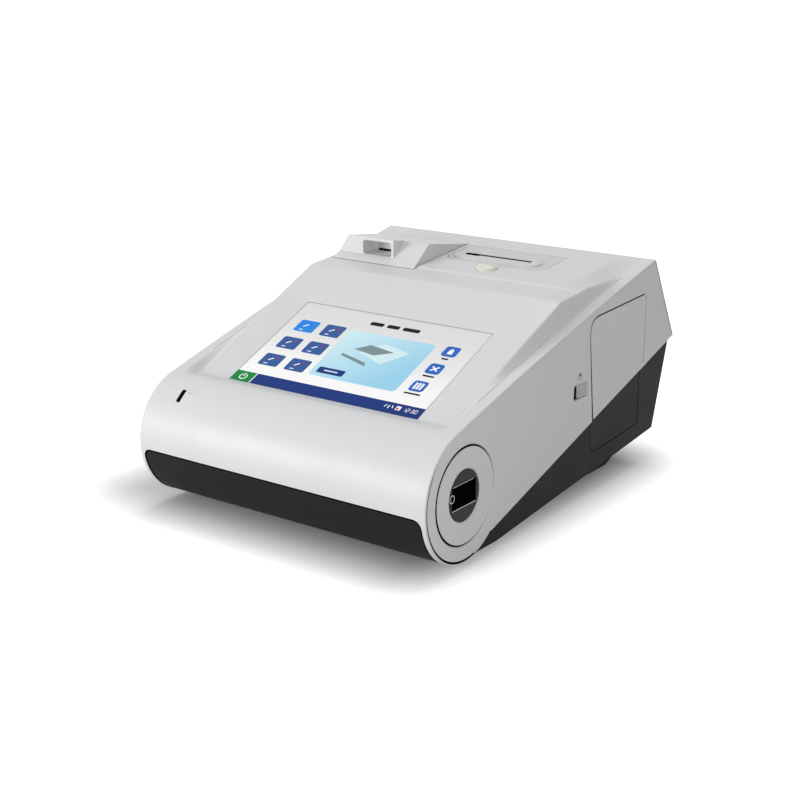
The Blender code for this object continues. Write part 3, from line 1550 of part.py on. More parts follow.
paper_slot = block(
    "paper_slot",
    (PAPER_LEFT, PAPER_SLOT_FRONT_Y - LID_HINGE_Y, -LID_THICK - CUT_OVER),
    (PAPER_RIGHT, PAPER_SLOT_BACK_Y - LID_HINGE_Y, CUT_OVER),
    place=LID,
)
lid_bore = rod(
    "lid_bore",
    LID_PIN_RADIUS + PIN_PLAY,
    (LID_LEFT - LID_PIN_END - SEAT_GAP, 0, -LID_THICK / 2),
    (LID_RIGHT + LID_PIN_END + SEAT_GAP, 0, -LID_THICK / 2),
    place=LID,
)
fuse(lid, lid_roll, lip)
cut(lid, paper_slot, lid_bore)
rod(
    "lid_hinge_pin",
    LID_PIN_RADIUS,
    (LID_LEFT - LID_PIN_END, 0, -LID_THICK / 2),
    (LID_RIGHT + LID_PIN_END, 0, -LID_THICK / 2),
    STEEL,
    place=LID,
)
lid_room = moved_out([(x, y) for x, y in lid_loop], -LID_SEAM)
lid_room[0] = (lid_room[0][0], LID_THICK / 2 + LID_SEAM)
lid_room[-1] = (lid_room[-1][0], LID_THICK / 2 + LID_SEAM)
lid_opening = outline("lid_opening", [lid_room], -WALL - CUT_OVER, CUT_OVER, "Z", place=LID)


def ellipse(grow):
    angles = np.linspace(0, 2 * math.pi, 28, endpoint=False)
    wide, long = BUTTON_HALF_X + grow, BUTTON_HALF_Y + grow
    return [(wide * math.cos(a), long * math.sin(a)) for a in angles]


button_top = crown_z(BUTTON_Y)
BUTTON = Matrix.Translation((BUTTON_X, BUTTON_Y, button_top))
collar_low = -BUTTON_COLLAR_DROP - BUTTON_COLLAR
button = outline(
    "release_button",
    [ellipse(0)],
    collar_low,
    BUTTON_RISE,
    "Z",
    CREAM,
    BUTTON_COLLAR,
    BUTTON,
    segments=2,
)
collar = outline(
    "button_collar", [ellipse(BUTTON_COLLAR)], collar_low, -BUTTON_COLLAR_DROP, "Z", place=BUTTON
)
spring_top = collar_low - SEAT_GAP
spring_low = spring_top - BUTTON_SPRING_LONG
stem = rod(
    "button_stem",
    BUTTON_STEM,
    (0, 0, spring_low + BUTTON_SPRING_LONG / 3),
    (0, 0, 0),
    place=BUTTON,
)
fuse(button, collar, stem)
button_opening = outline(
    "button_opening", [ellipse(BUTTON_SEAM)], -WALL - CUT_OVER, CUT_OVER, "Z", place=BUTTON
)
cut(cover, lid_opening, lid_bore, button_opening)


def helix(radius, wire, low, high, turns):
    """A coil of wire about (0, 0), its two end turns almost flat."""
    share = np.linspace(0, 1, turns * 10 + 1)
    angle = share * turns * 2 * math.pi
    z = low + wire + (high - low - wire * 2) * share
    return [(radius * math.cos(a), radius * math.sin(a), h) for a, h in zip(angle, z)]


coil = helix(BUTTON_SPRING_RADIUS, SPRING_WIRE, spring_low, spring_top, SPRING_TURNS)
coil_points = [BUTTON @ Vector(point) for point in coil]
tube("button_spring", coil_points, SPRING_WIRE, STEEL, sides=1)

# Printer works: frame, paper roll, platen with gears, motor and head
plate_gap = (WALL + SEAT_GAP) / math.cos(CROWN_ANGLE) + SEAT_GAP / 2
plate_side = [
    (PRINTER_FRONT_Y, PRINTER_NOSE_Z),
    (PRINTER_FRONT_Y, crown_z(PRINTER_FRONT_Y) - plate_gap),
    (PRINTER_BACK_Y, crown_z(PRINTER_BACK_Y) - plate_gap),
    (PRINTER_BACK_Y, PAPER_ROLL_Z - ROLL_PAPER_RADIUS / 2),
    (PAPER_ROLL_Y + ROLL_PAPER_RADIUS / 2, PRINTER_LOW_Z),
    (PAPER_ROLL_Y - ROLL_PAPER_RADIUS / 2, PRINTER_LOW_Z),
    (PAPER_ROLL_Y - ROLL_PAPER_RADIUS, PRINTER_NOSE_Z),
]


def toward(centre, angle, distance):
    """A point at an angle from a centre, measured as the arcs are."""
    return arc(centre, distance, angle, angle, 1)[0]


PLATEN = (PLATEN_Y, PLATEN_Z)
IDLER = toward(PLATEN, IDLER_ANGLE, GEAR_MODULE * (PLATEN_TEETH + IDLER_TEETH) / 2)
PINION = toward(IDLER, PINION_ANGLE, GEAR_MODULE * (IDLER_TEETH + MOTOR_TEETH) / 2)
left_inner = PRINTER_LEFT + PRINTER_SIDE
right_inner = PRINTER_RIGHT - PRINTER_SIDE
printer_frame = outline(
    "printer_frame",
    [
        plate_side,
        circle(PLATEN, SHAFT_RADIUS + PIN_PLAY, 20),
        circle(PINION, PINION_SHAFT_RADIUS + PIN_PLAY, 20),
    ],
    PRINTER_LEFT,
    left_inner,
    "X",
    STEEL,
)
right_plate = outline(
    "printer_right_plate",
    [plate_side, circle(PLATEN, SHAFT_RADIUS + PIN_PLAY, 20)],
    right_inner,
    PRINTER_RIGHT,
    "X",
)
bucket_radius = ROLL_PAPER_RADIUS + BUCKET_PLAY
bucket_loop = arc(
    (PAPER_ROLL_Y, PAPER_ROLL_Z), bucket_radius, math.radians(-15), math.radians(-165), 14
) + arc(
    (PAPER_ROLL_Y, PAPER_ROLL_Z),
    bucket_radius + BUCKET_WALL,
    math.radians(-165),
    math.radians(-15),
    14,
)
bucket = outline(
    "paper_bucket",
    [bucket_loop],
    PRINTER_LEFT + PRINTER_SIDE / 2,
    PRINTER_RIGHT - PRINTER_SIDE / 2,
    "X",
)
shelf_top = button_top + spring_low - SEAT_GAP
head_back = PLATEN_Y - PLATEN_RADIUS - SEAT_GAP
shelf = block(
    "printer_shelf",
    (PRINTER_LEFT + PRINTER_SIDE / 2, PRINTER_FRONT_Y + PRINTER_SIDE, shelf_top - PRINTER_SIDE),
    (PRINTER_RIGHT - PRINTER_SIDE / 2, head_back, shelf_top),
)
stud_end = PRINTER_LEFT - GEAR_FACE_PLAY * 2 - GEAR_WIDE
stud = rod(
    "idler_stud",
    SHAFT_RADIUS,
    (PRINTER_LEFT + PRINTER_SIDE / 2, *IDLER),
    (stud_end, *IDLER),
    sides=16,
)
spindle_slots = [
    block(
        f"spindle_slot_{name}",
        (low, PAPER_ROLL_Y - SPINDLE_END_RADIUS - PIN_PLAY, PAPER_ROLL_Z),
        (high, PAPER_ROLL_Y + SPINDLE_END_RADIUS + PIN_PLAY, BACK_TOP_Z),
    )
    for name, low, high in (
        ("left", PRINTER_LEFT - CUT_OVER / 2, left_inner + CUT_OVER / 2),
        ("right", right_inner - CUT_OVER / 2, PRINTER_RIGHT + CUT_OVER / 2),
    )
]
spindle_seat = rod(
    "spindle_seat",
    SPINDLE_END_RADIUS + PIN_PLAY,
    (PRINTER_LEFT - CUT_OVER / 2, PAPER_ROLL_Y, PAPER_ROLL_Z),
    (PRINTER_RIGHT + CUT_OVER / 2, PAPER_ROLL_Y, PAPER_ROLL_Z),
)
fuse(printer_frame, right_plate, bucket, shelf, stud)
cut(printer_frame, *spindle_slots, spindle_seat)
paper_middle = (PAPER_LEFT + PAPER_RIGHT) / 2
paper_ends = (paper_middle - PAPER_WIDE / 2, paper_middle + PAPER_WIDE / 2)
paper_roll = rod(
    "paper_roll",
    ROLL_PAPER_RADIUS,
    (paper_ends[0], PAPER_ROLL_Y, PAPER_ROLL_Z),
    (paper_ends[1], PAPER_ROLL_Y, PAPER_ROLL_Z),
    PAPER,
    sides=40,
)
cut(
    paper_roll,
    rod(
        "paper_core",
        ROLL_CORE_RADIUS,
        (paper_ends[0] - CUT_OVER, PAPER_ROLL_Y, PAPER_ROLL_Z),
        (paper_ends[1] + CUT_OVER, PAPER_ROLL_Y, PAPER_ROLL_Z),
        sides=40,
    ),
)
spindle_step = (left_inner + GEAR_FACE_PLAY, right_inner - GEAR_FACE_PLAY)
spindle_profile = [
    (SPINDLE_END_RADIUS, PRINTER_RIGHT - PRINTER_LEFT),
    (SPINDLE_END_RADIUS, spindle_step[1] - PRINTER_LEFT),
    (SPINDLE_RADIUS, spindle_step[1] - PRINTER_LEFT),
    (SPINDLE_RADIUS, spindle_step[0] - PRINTER_LEFT),
    (SPINDLE_END_RADIUS, spindle_step[0] - PRINTER_LEFT),
    (SPINDLE_END_RADIUS, 0),
    (0, 0),
    (0, PRINTER_RIGHT - PRINTER_LEFT),
]
turned(
    "paper_spindle",
    spindle_profile,
    side_frame(PRINTER_LEFT, PAPER_ROLL_Y, PAPER_ROLL_Z),
    NATURAL,
    28,
)


def gear_loop(centre, teeth, phase):
    """Trapezoid teeth round a centre, one of them at the phase angle."""
    pitch = 2 * math.pi / teeth
    reach = GEAR_MODULE * teeth / 2
    tip, root = reach + GEAR_MODULE * GEAR_ADDENDUM_SHARE, reach - GEAR_MODULE * GEAR_DEDENDUM_SHARE
    corners = (
        (root, -TOOTH_ROOT_SHARE / 2),
        (tip, -TOOTH_TIP_SHARE / 2),
        (tip, TOOTH_TIP_SHARE / 2),
        (root, TOOTH_ROOT_SHARE / 2),
    )
    points = []
    for tooth in range(teeth):
        for radius, share in corners:
            turn = phase + (tooth + share) * pitch
            points.append(toward(centre, turn, radius))
    return points


idler_phase = IDLER_ANGLE + math.pi - math.pi / IDLER_TEETH
tooth_left = ((PINION_ANGLE - idler_phase) * IDLER_TEETH / (2 * math.pi)) % 1
pinion_phase = PINION_ANGLE + math.pi + (tooth_left - 0.5) * 2 * math.pi / MOTOR_TEETH
gear_right = PRINTER_LEFT - GEAR_FACE_PLAY
gear_left = gear_right - GEAR_WIDE
platen = rod(
    "platen_roller",
    PLATEN_RADIUS,
    (paper_ends[0] - EDGE_ROUND, *PLATEN),
    (paper_ends[1] + EDGE_ROUND, *PLATEN),
    RUBBER,
    sides=28,
)
platen_shaft = rod(
    "platen_shaft",
    SHAFT_RADIUS,
    (gear_left, *PLATEN),
    (PRINTER_RIGHT + GEAR_FACE_PLAY, *PLATEN),
    sides=20,
)
platen_gear = outline(
    "platen_gear", [gear_loop(PLATEN, PLATEN_TEETH, IDLER_ANGLE)], gear_left, gear_right, "X"
)
fuse(platen, platen_shaft, platen_gear)
outline(
    "idler_gear",
    [gear_loop(IDLER, IDLER_TEETH, idler_phase), circle(IDLER, SHAFT_RADIUS + PIN_PLAY, 20)],
    gear_left,
    gear_right,
    "X",
    NATURAL,
)
pinion = outline(
    "motor_pinion",
    [gear_loop(PINION, MOTOR_TEETH, pinion_phase)],
    gear_left,
    gear_right,
    "X",
    BRASS,
)
motor_face = left_inner + SEAT_GAP
pinion_end = motor_face + PRINT_MOTOR_LONG / 2
pinion_shaft = rod(
    "pinion_shaft", PINION_SHAFT_RADIUS, (gear_left, *PINION), (pinion_end, *PINION), sides=20
)
fuse(pinion, pinion_shaft)
print_motor = rod(
    "print_motor",
    PRINT_MOTOR_RADIUS,
    (motor_face, *PINION),
    (motor_face + PRINT_MOTOR_LONG, *PINION),
    STEEL,
    sides=32,
)
shaft_bore = rod(
    "shaft_bore",
    PINION_SHAFT_RADIUS + PIN_PLAY,
    (motor_face - CUT_OVER, *PINION),
    (pinion_end + SEAT_GAP, *PINION),
    sides=20,
)
cut(print_motor, shaft_bore)
block(
    "print_head",
    (paper_middle - PRINT_HEAD_SIZE[0] / 2, head_back - PRINT_HEAD_SIZE[1], shelf_top + SEAT_GAP),
    (paper_middle + PRINT_HEAD_SIZE[0] / 2, head_back, shelf_top + SEAT_GAP + PRINT_HEAD_SIZE[2]),
    CHARCOAL,
    EDGE_ROUND / 2,
)


# Latch behind the right panel
slider_out = PANEL_BACK - SEAT_GAP
slider_in = slider_out - LATCH_PLATE
slider_front = LATCH_FRONT_Y - LATCH_BACK_LAP
slider_back = LATCH_BACK_Y + LATCH_TRAVEL + LATCH_BACK_LAP
slider_low = LATCH_LOW_Z - LATCH_BACK_LAP
slider_high = LATCH_HIGH_Z + LATCH_BACK_LAP
slider = block(
    "latch_slider",
    (slider_in, slider_front, slider_low),
    (slider_out, slider_back, slider_high),
    SILVER_GREY,
)
knob_face = PANEL_FACE - LATCH_KNOB_SINK
knob_back = LATCH_BACK_Y - RUN_GAP
knob_front = knob_back - LATCH_KNOB_LONG
knob = block(
    "latch_knob",
    (slider_in + LATCH_PLATE / 2, knob_front, LATCH_LOW_Z + RUN_GAP),
    (knob_face, knob_back, LATCH_HIGH_Z - RUN_GAP),
)
soften(knob, EDGE_ROUND)
tongue_half = CATCH_HIGH / 2 + LATCH_STOP + RUN_GAP
bar_front = catch_back + CATCH_REACH + RUN_GAP
tongue = block(
    "latch_tongue",
    (slider_in, slider_back - LATCH_STOP, latch_middle - tongue_half),
    (slider_out, bar_front + LATCH_BAR, latch_middle + tongue_half),
)
tongue_window = block(
    "tongue_window",
    (slider_in - CUT_OVER, catch_front - RUN_GAP, latch_middle - CATCH_HIGH / 2 - RUN_GAP),
    (slider_out + CUT_OVER, bar_front, latch_middle + CATCH_HIGH / 2 + RUN_GAP),
)
fuse(slider, knob, tongue)
cut(slider, tongue_window)
rib_pitch = LATCH_KNOB_LONG / (LATCH_RIBS + 1)
for number in range(LATCH_RIBS):
    rib_y = knob_front + rib_pitch * (number + 1)
    rib = block(
        f"latch_rib_{number + 1}",
        (knob_face - LATCH_RIB_RISE, rib_y - rib_pitch / 4, LATCH_LOW_Z + RUN_GAP * 2),
        (knob_face + LATCH_RIB_RISE, rib_y + rib_pitch / 4, LATCH_HIGH_Z - RUN_GAP * 2),
    )
    fuse(slider, rib)
keeper_front = slider_front - LATCH_TRAVEL - SEAT_GAP
keeper = block(
    "latch_keeper",
    (slider_in - SEAT_GAP - LATCH_STOP, keeper_front - LATCH_STOP, slider_low - LATCH_STOP - SEAT_GAP),
    (slider_out, slider_back - LATCH_STOP, slider_high + LATCH_STOP + SEAT_GAP),
    CHARCOAL,
)
keeper_pocket = block(
    "keeper_pocket",
    (slider_in - SEAT_GAP, keeper_front, slider_low - SEAT_GAP),
    (slider_out + CUT_OVER, slider_back + CUT_OVER, slider_high + SEAT_GAP),
)
cut(keeper, keeper_pocket)

# Chassis plate with stand-offs, and the two boards on it
CHASSIS_TOP = CHASSIS_Z + CHASSIS_THICK
DECK_OF_CHASSIS = CHASSIS_TOP + SEAT_GAP
board_low = CHASSIS_TOP + STANDOFF_HIGH + SEAT_GAP
chassis = outline(
    "chassis_plate",
    [
        rounded(
            (-CHASSIS_HALF, CHASSIS_FRONT_Y), (CHASSIS_HALF, CHASSIS_BACK_Y), POST_RADIUS
        ),
        rounded(
            (BOARD_RIGHT + CHIP_SIDE / 2, BOARD_FRONT_Y), (BOARD_RIGHT + CHIP_SIDE * 2, 0), POST_RADIUS
        ),
    ],
    CHASSIS_Z,
    CHASSIS_TOP,
    "Z",
    STEEL,
)
stand_points = [
    (x, y)
    for x in (BOARD_LEFT + BOARD_INSET, BOARD_RIGHT - BOARD_INSET)
    for y in (BOARD_FRONT_Y + BOARD_INSET, BOARD_BACK_Y - BOARD_INSET)
]
io_left, io_right = -CHASSIS_HALF + BOARD_THICK, LAN_X + LAN_SIZE[0] * 0.8
io_front, io_back = CHASSIS_BACK_Y - CHIP_SIDE, BASE_REAR_FOOT_Y - WALL
stand_points += [
    (x, y)
    for x in (io_left + BOARD_INSET, io_right - BOARD_INSET)
    for y in (io_front + BOARD_INSET / 2, CHASSIS_BACK_Y - BOARD_INSET / 2)
]
for number, (x, y) in enumerate(stand_points):
    standoff = rod(
        f"standoff_{number + 1}",
        STANDOFF_RADIUS,
        (x, y, CHASSIS_Z + CHASSIS_THICK / 2),
        (x, y, CHASSIS_TOP + STANDOFF_HIGH),
        sides=12,
    )
    fuse(chassis, standoff)


def board(name, low, high, chips):
    """A circuit board with the blocks of its larger components fused on."""
    plate = block(name, (*low, board_low), (*high, board_low + BOARD_THICK), GREEN_BOARD)
    for index, (x, y, wide, long, tall) in enumerate(chips):
        chip = block(
            f"{name}_chip_{index + 1}",
            (x - wide / 2, y - long / 2, board_low + BOARD_THICK / 2),
            (x + wide / 2, y + long / 2, board_low + BOARD_THICK + tall),
        )
        fuse(plate, chip)
    return plate


board_middle = (BOARD_LEFT + BOARD_RIGHT) / 2
board(
    "main_board",
    (BOARD_LEFT, BOARD_FRONT_Y),
    (BOARD_RIGHT, BOARD_BACK_Y),
    (
        (board_middle, -CHIP_SIDE, CHIP_SIDE, CHIP_SIDE, CHIP_HIGH),
        (board_middle - CHIP_SIDE * 1.5, -CHIP_SIDE, CHIP_SIDE / 2, CHIP_SIDE, CHIP_HIGH / 2),
        (board_middle + CHIP_SIDE * 1.5, -CHIP_SIDE * 2, CHIP_SIDE, CHIP_SIDE / 2, CHIP_HIGH * 3),
        (board_middle, 0, CHIP_SIDE * 2, CHIP_SIDE / 4, CHIP_HIGH * 3),
        (board_middle - CHIP_SIDE * 1.5, BOARD_FRONT_Y / 2 - BOARD_INSET, CHIP_SIDE, BOARD_INSET, CHIP_HIGH * 3),
    ),
)
board(
    "io_board",
    (io_left, io_front),
    (io_right, io_back),
    ((USB_X, io_front + BOARD_INSET, CHIP_SIDE, BOARD_INSET / 2, CHIP_HIGH * 3),),
)

# Sockets at the rear, standing on the smaller board
socket_low = board_low + BOARD_THICK + SEAT_GAP
socket_face = BASE_REAR_FOOT_Y + STANDOFF_HIGH
socket_openings = []


def socket(name, x, size, storeys, tongue_share):
    """A metal-shelled socket, open to the rear, with one pocket and tongue for each storey."""
    wide, high = size
    low = (x - wide / 2, socket_face - SOCKET_DEEP, socket_low)
    top = (x + wide / 2, socket_face, socket_low + high)
    shell = block(name, low, top, STEEL)
    storey = (high - SOCKET_WALL) / storeys
    for number in range(storeys):
        floor = low[2] + SOCKET_WALL + storey * number
        pocket = block(
            f"{name}_pocket_{number + 1}",
            (low[0] + SOCKET_WALL, low[1] + SOCKET_WALL * 3, floor),
            (top[0] - SOCKET_WALL, top[1] + CUT_OVER, floor + storey - SOCKET_WALL),
        )
        cut(shell, pocket)
        middle = floor + (storey - SOCKET_WALL) * tongue_share
        tongue = block(
            f"{name}_tongue_{number + 1}",
            (x - wide * TONGUE_SHARE, low[1] + SOCKET_WALL, middle - SOCKET_WALL),
            (x + wide * TONGUE_SHARE, top[1] - SOCKET_WALL * 3, middle + SOCKET_WALL),
        )
        fuse(shell, tongue)
    socket_openings.append(
        block(
            f"{name}_opening",
            (low[0] - RUN_GAP, BASE_REAR_FOOT_Y - WALL, low[2] - RUN_GAP),
            (top[0] + RUN_GAP, REAR_Y, top[2] + RUN_GAP),
        )
    )


socket("lan_socket", LAN_X, LAN_SIZE, 1, 0.8)
socket("usb_sockets", USB_X, USB_SIZE, 2, 0.5)
jack_z = socket_low + DC_RADIUS + SOCKET_WALL
jack = block(
    "dc_jack",
    (DC_X - DC_RADIUS, socket_face - SOCKET_DEEP, socket_low),
    (DC_X + DC_RADIUS, socket_face - SOCKET_DEEP / 3, jack_z + DC_RADIUS),
    CHARCOAL,
)
barrel = rod(
    "jack_barrel",
    DC_RADIUS,
    (DC_X, socket_face - SOCKET_DEEP / 2, jack_z),
    (DC_X, socket_face, jack_z),
)
jack_bore = rod(
    "jack_bore",
    DC_BORE,
    (DC_X, socket_face - SOCKET_DEEP + SOCKET_WALL * 3, jack_z),
    (DC_X, socket_face + CUT_OVER, jack_z),
)
jack_pin = rod(
    "jack_pin",
    DC_PIN,
    (DC_X, socket_face - SOCKET_DEEP + SOCKET_WALL, jack_z),
    (DC_X, socket_face - SOCKET_WALL, jack_z),
    sides=12,
)
fuse(jack, barrel)
cut(jack, jack_bore)
fuse(jack, jack_pin)
socket_openings.append(
    rod(
        "jack_opening",
        DC_RADIUS + RUN_GAP,
        (DC_X, BASE_REAR_FOOT_Y - WALL, jack_z),
        (DC_X, REAR_Y, jack_z),
    )
)
cut(base, *socket_openings)

# Fan on the rear wall
FAN = rear_frame(FAN_X, FAN_UP)
fan_out = -WALL - SEAT_GAP
fan_in = fan_out - FAN_THICK
half_fan = FAN_SIDE / 2
fan = block(
    "fan_frame",
    (-half_fan, -half_fan, fan_in),
    (half_fan, half_fan, fan_out),
    CHARCOAL,
    place=FAN,
)
fan_bore = rod(
    "fan_bore",
    FAN_BORE,
    (0, 0, fan_in - CUT_OVER),
    (0, 0, fan_out + CUT_OVER),
    sides=40,
    place=FAN,
)
cut(fan, fan_bore)
strut_top = fan_in + BLADE_THICK * 2
fuse(fan, rod("fan_motor", FAN_HUB, (0, 0, fan_in), (0, 0, strut_top), place=FAN))
for number in range(3):
    turn = Matrix.Rotation(math.radians(90 + number * 120), 4, "Z")
    strut = block(
        f"fan_strut_{number + 1}",
        (FAN_HUB / 2, -BLADE_THICK, fan_in),
        (FAN_BORE + BLADE_THICK, BLADE_THICK, strut_top - BLADE_THICK / 2),
        place=FAN @ turn,
    )
    fuse(fan, strut)
hub_low = strut_top + SEAT_GAP
hub_high = fan_out - RUN_GAP
rotor = rod("fan_rotor", FAN_HUB, (0, 0, hub_low), (0, 0, hub_high), CHARCOAL, place=FAN)
fan_middle = Matrix.Translation((0, 0, (hub_low + hub_high) / 2))
blade_half = (hub_high - hub_low) / 2 / math.cos(BLADE_TWIST) * 0.8
for number in range(FAN_BLADES):
    turn = Matrix.Rotation(2 * math.pi * number / FAN_BLADES, 4, "Z")
    twist = Matrix.Rotation(BLADE_TWIST, 4, "X")
    blade = block(
        f"fan_blade_{number + 1}",
        (FAN_HUB - BLADE_THICK, -BLADE_THICK / 2, -blade_half),
        (FAN_BORE - BLADE_THICK, BLADE_THICK / 2, blade_half),
        place=FAN @ fan_middle @ turn @ twist,
    )
    fuse(rotor, blade)
fan_shaft = rod(
    "fan_shaft", SHAFT_RADIUS, (0, 0, fan_in + BLADE_THICK / 2), (0, 0, hub_high / 2 + hub_low / 2), place=FAN
)
fuse(rotor, fan_shaft)
cut(
    fan,
    rod(
        "fan_bearing",
        SHAFT_RADIUS + PIN_PLAY,
        (0, 0, fan_in - CUT_OVER),
        (0, 0, strut_top + CUT_OVER),
        place=FAN,
    ),
)
slot_pitch = 2 * FAN_BORE / FAN_SLOTS
for number in range(FAN_SLOTS):
    middle = (number - (FAN_SLOTS - 1) / 2) * slot_pitch
    reach = math.sqrt(FAN_BORE**2 - middle**2)
    grille = block(
        f"fan_slot_{number + 1}",
        (-reach, middle - FAN_SLOT / 2, -WALL * 2),
        (reach, middle + FAN_SLOT / 2, CUT_OVER),
        place=FAN,
    )
    cut(base, grille)

# Speaker behind its holes
speaker_turn = SPEAKER_ANGLE - HOLE_PITCH / ROLL_RADIUS / 2
speaker_out = Vector((0, -math.cos(speaker_turn), math.sin(speaker_turn)))
speaker_centre = Vector((SPEAKER_X, ROLL_Y, ROLL_Z))
speaker_reach = math.sqrt((ROLL_RADIUS - SEAT_GAP - WALL) ** 2 - SPEAKER_RADIUS**2) - SEAT_GAP
rod(
    "speaker",
    SPEAKER_RADIUS,
    speaker_centre + speaker_out * (speaker_reach - SPEAKER_DEEP),
    speaker_centre + speaker_out * speaker_reach,
    STEEL,
    sides=28,
)

# Battery under the chassis, reached through a cover in the belly
battery_half = (BATTERY_WIDE / 2, BATTERY_LONG / 2)
belly_top = belly_low + WALL
battery = block(
    "battery_pack",
    (-battery_half[0], BATTERY_Y - battery_half[1], belly_top + SEAT_GAP),
    (battery_half[0], BATTERY_Y + battery_half[1], belly_top + SEAT_GAP + BATTERY_HIGH),
    CHARCOAL,
    BATTERY_ROUND / 2,
)
cover_half = [side + BATTERY_COVER_LAP for side in battery_half]
hatch = block(
    "battery_cover",
    (SEAT_GAP - cover_half[0], BATTERY_Y + SEAT_GAP - cover_half[1], belly_low),
    (cover_half[0] - SEAT_GAP, BATTERY_Y + cover_half[1] - SEAT_GAP, belly_low + BATTERY_COVER_THICK),
    CHARCOAL,
)
hatch_recess = block(
    "hatch_recess",
    (-cover_half[0], BATTERY_Y - cover_half[1], -CUT_OVER),
    (cover_half[0], BATTERY_Y + cover_half[1], belly_low + BATTERY_COVER_THICK + SEAT_GAP),
)
hatch_hole = block(
    "hatch_hole",
    (BATTERY_COVER_LAP - battery_half[0], BATTERY_Y + BATTERY_COVER_LAP - battery_half[1], 0),
    (battery_half[0] - BATTERY_COVER_LAP, BATTERY_Y + battery_half[1] - BATTERY_COVER_LAP, belly_top * 2),
)
cut(base, hatch_recess, hatch_hole)

# Fluid bay behind the side door, and the pack in it
bay_out = BASE_SKIN - SEAT_GAP
bay_in = PRINTER_RIGHT + BAY_PRINTER_SPACE
bay = block(
    "fluid_bay",
    (bay_in, BAY_FRONT_Y, DECK_OF_CHASSIS),
    (bay_out, BAY_BACK_Y, BAY_TOP_Z),
    NATURAL,
    EDGE_ROUND,
)
bay_room = block(
    "bay_room",
    (bay_in + BAY_WALL, BAY_FRONT_Y + BAY_WALL, DECK_OF_CHASSIS + BAY_WALL),
    (bay_out + CUT_OVER, BAY_BACK_Y - BAY_WALL, BAY_TOP_Z - BAY_WALL),
)
cut(bay, bay_room)
pack_low = DECK_OF_CHASSIS + BAY_WALL + SEAT_GAP
pack_high = pack_low + (BAY_TOP_Z - BAY_WALL - pack_low) * PACK_HIGH_SHARE
pack_in = bay_in + BAY_WALL + SEAT_GAP
pack_out = pack_in + (bay_out - bay_in) * PACK_DEPTH_SHARE
pack_front = BAY_FRONT_Y + BAY_WALL + PACK_SIDE_PLAY
pack_back = BAY_BACK_Y - BAY_WALL - PACK_SIDE_PLAY
pack = block(
    "fluid_pack",
    (pack_in, pack_front, pack_low),
    (pack_out, pack_back, pack_high),
    AMBER,
    PACK_ROUND / 2,
)
pack_middle = (pack_front + pack_back) / 2
grip = rod(
    "pack_grip",
    PACK_GRIP_RADIUS,
    (pack_out - PACK_ROUND * 2, pack_middle, pack_high),
    (pack_out + CUT_OVER, pack_middle, pack_high),
)
cut(pack, grip)
stub_step = (pack_back - pack_front) / 4
for number in range(3):
    stub_y = pack_front + stub_step * (number + 1)
    stub_z = pack_low + stub_step * 2
    stub = rod(
        f"pack_stub_{number + 1}",
        PORT_STUB_RADIUS,
        (pack_in + PORT_STUB_LONG, stub_y, stub_z),
        (bay_in - PORT_STUB_LONG / 2, stub_y, stub_z),
        sides=16,
    )
    stub_hole = rod(
        f"stub_hole_{number + 1}",
        PORT_STUB_RADIUS + RUN_GAP,
        (bay_in - CUT_OVER, stub_y, stub_z),
        (pack_in, stub_y, stub_z),
        sides=16,
    )
    fuse(pack, stub)
    cut(bay, stub_hole)

# Peristaltic pump with its motor and tube, and the valve block before it
pump_motor_top = DECK_OF_CHASSIS + PUMP_MOTOR_LONG
pump_motor = rod(
    "pump_motor",
    PUMP_MOTOR_RADIUS,
    (PUMP_X, PUMP_Y, DECK_OF_CHASSIS),
    (PUMP_X, PUMP_Y, pump_motor_top),
    STEEL,
    sides=32,
)
shaft_low = pump_motor_top - PUMP_MOTOR_LONG / 3
cut(
    pump_motor,
    rod(
        "pump_motor_bore",
        SHAFT_RADIUS + PIN_PLAY,
        (PUMP_X, PUMP_Y, shaft_low - SEAT_GAP),
        (PUMP_X, PUMP_Y, pump_motor_top + CUT_OVER),
    ),
)
pump_low = pump_motor_top + SEAT_GAP
pump_floor = pump_low + PUMP_FLOOR
half_pump = PUMP_SIDE / 2
pump = block(
    "pump_housing",
    (PUMP_X - half_pump, PUMP_Y - half_pump, pump_low),
    (PUMP_X + half_pump, PUMP_Y + half_pump, pump_low + PUMP_HIGH),
    NATURAL,
    EDGE_ROUND,
)
pump_bore = rod(
    "pump_bore",
    PUMP_BORE,
    (PUMP_X, PUMP_Y, pump_floor),
    (PUMP_X, PUMP_Y, pump_low + PUMP_HIGH + CUT_OVER),
    sides=40,
)
pump_hole = rod(
    "pump_hole",
    SHAFT_RADIUS + RUN_GAP,
    (PUMP_X, PUMP_Y, pump_low - CUT_OVER),
    (PUMP_X, PUMP_Y, pump_floor + CUT_OVER),
)
tube_z = pump_floor + (PUMP_HIGH - PUMP_FLOOR) / 2
cut(pump, pump_bore, pump_hole)
rotor_low = pump_floor + SEAT_GAP
rotor_high = pump_low + PUMP_HIGH - RUN_GAP
pump_rotor = rod(
    "pump_rotor",
    PUMP_ROTOR_RADIUS - PUMP_ROLLER_RADIUS / 2,
    (PUMP_X, PUMP_Y, rotor_low),
    (PUMP_X, PUMP_Y, rotor_high),
    NATURAL,
)
pump_shaft = rod(
    "pump_shaft", SHAFT_RADIUS, (PUMP_X, PUMP_Y, shaft_low), (PUMP_X, PUMP_Y, rotor_low + PUMP_PLATE)
)
fuse(pump_rotor, pump_shaft)
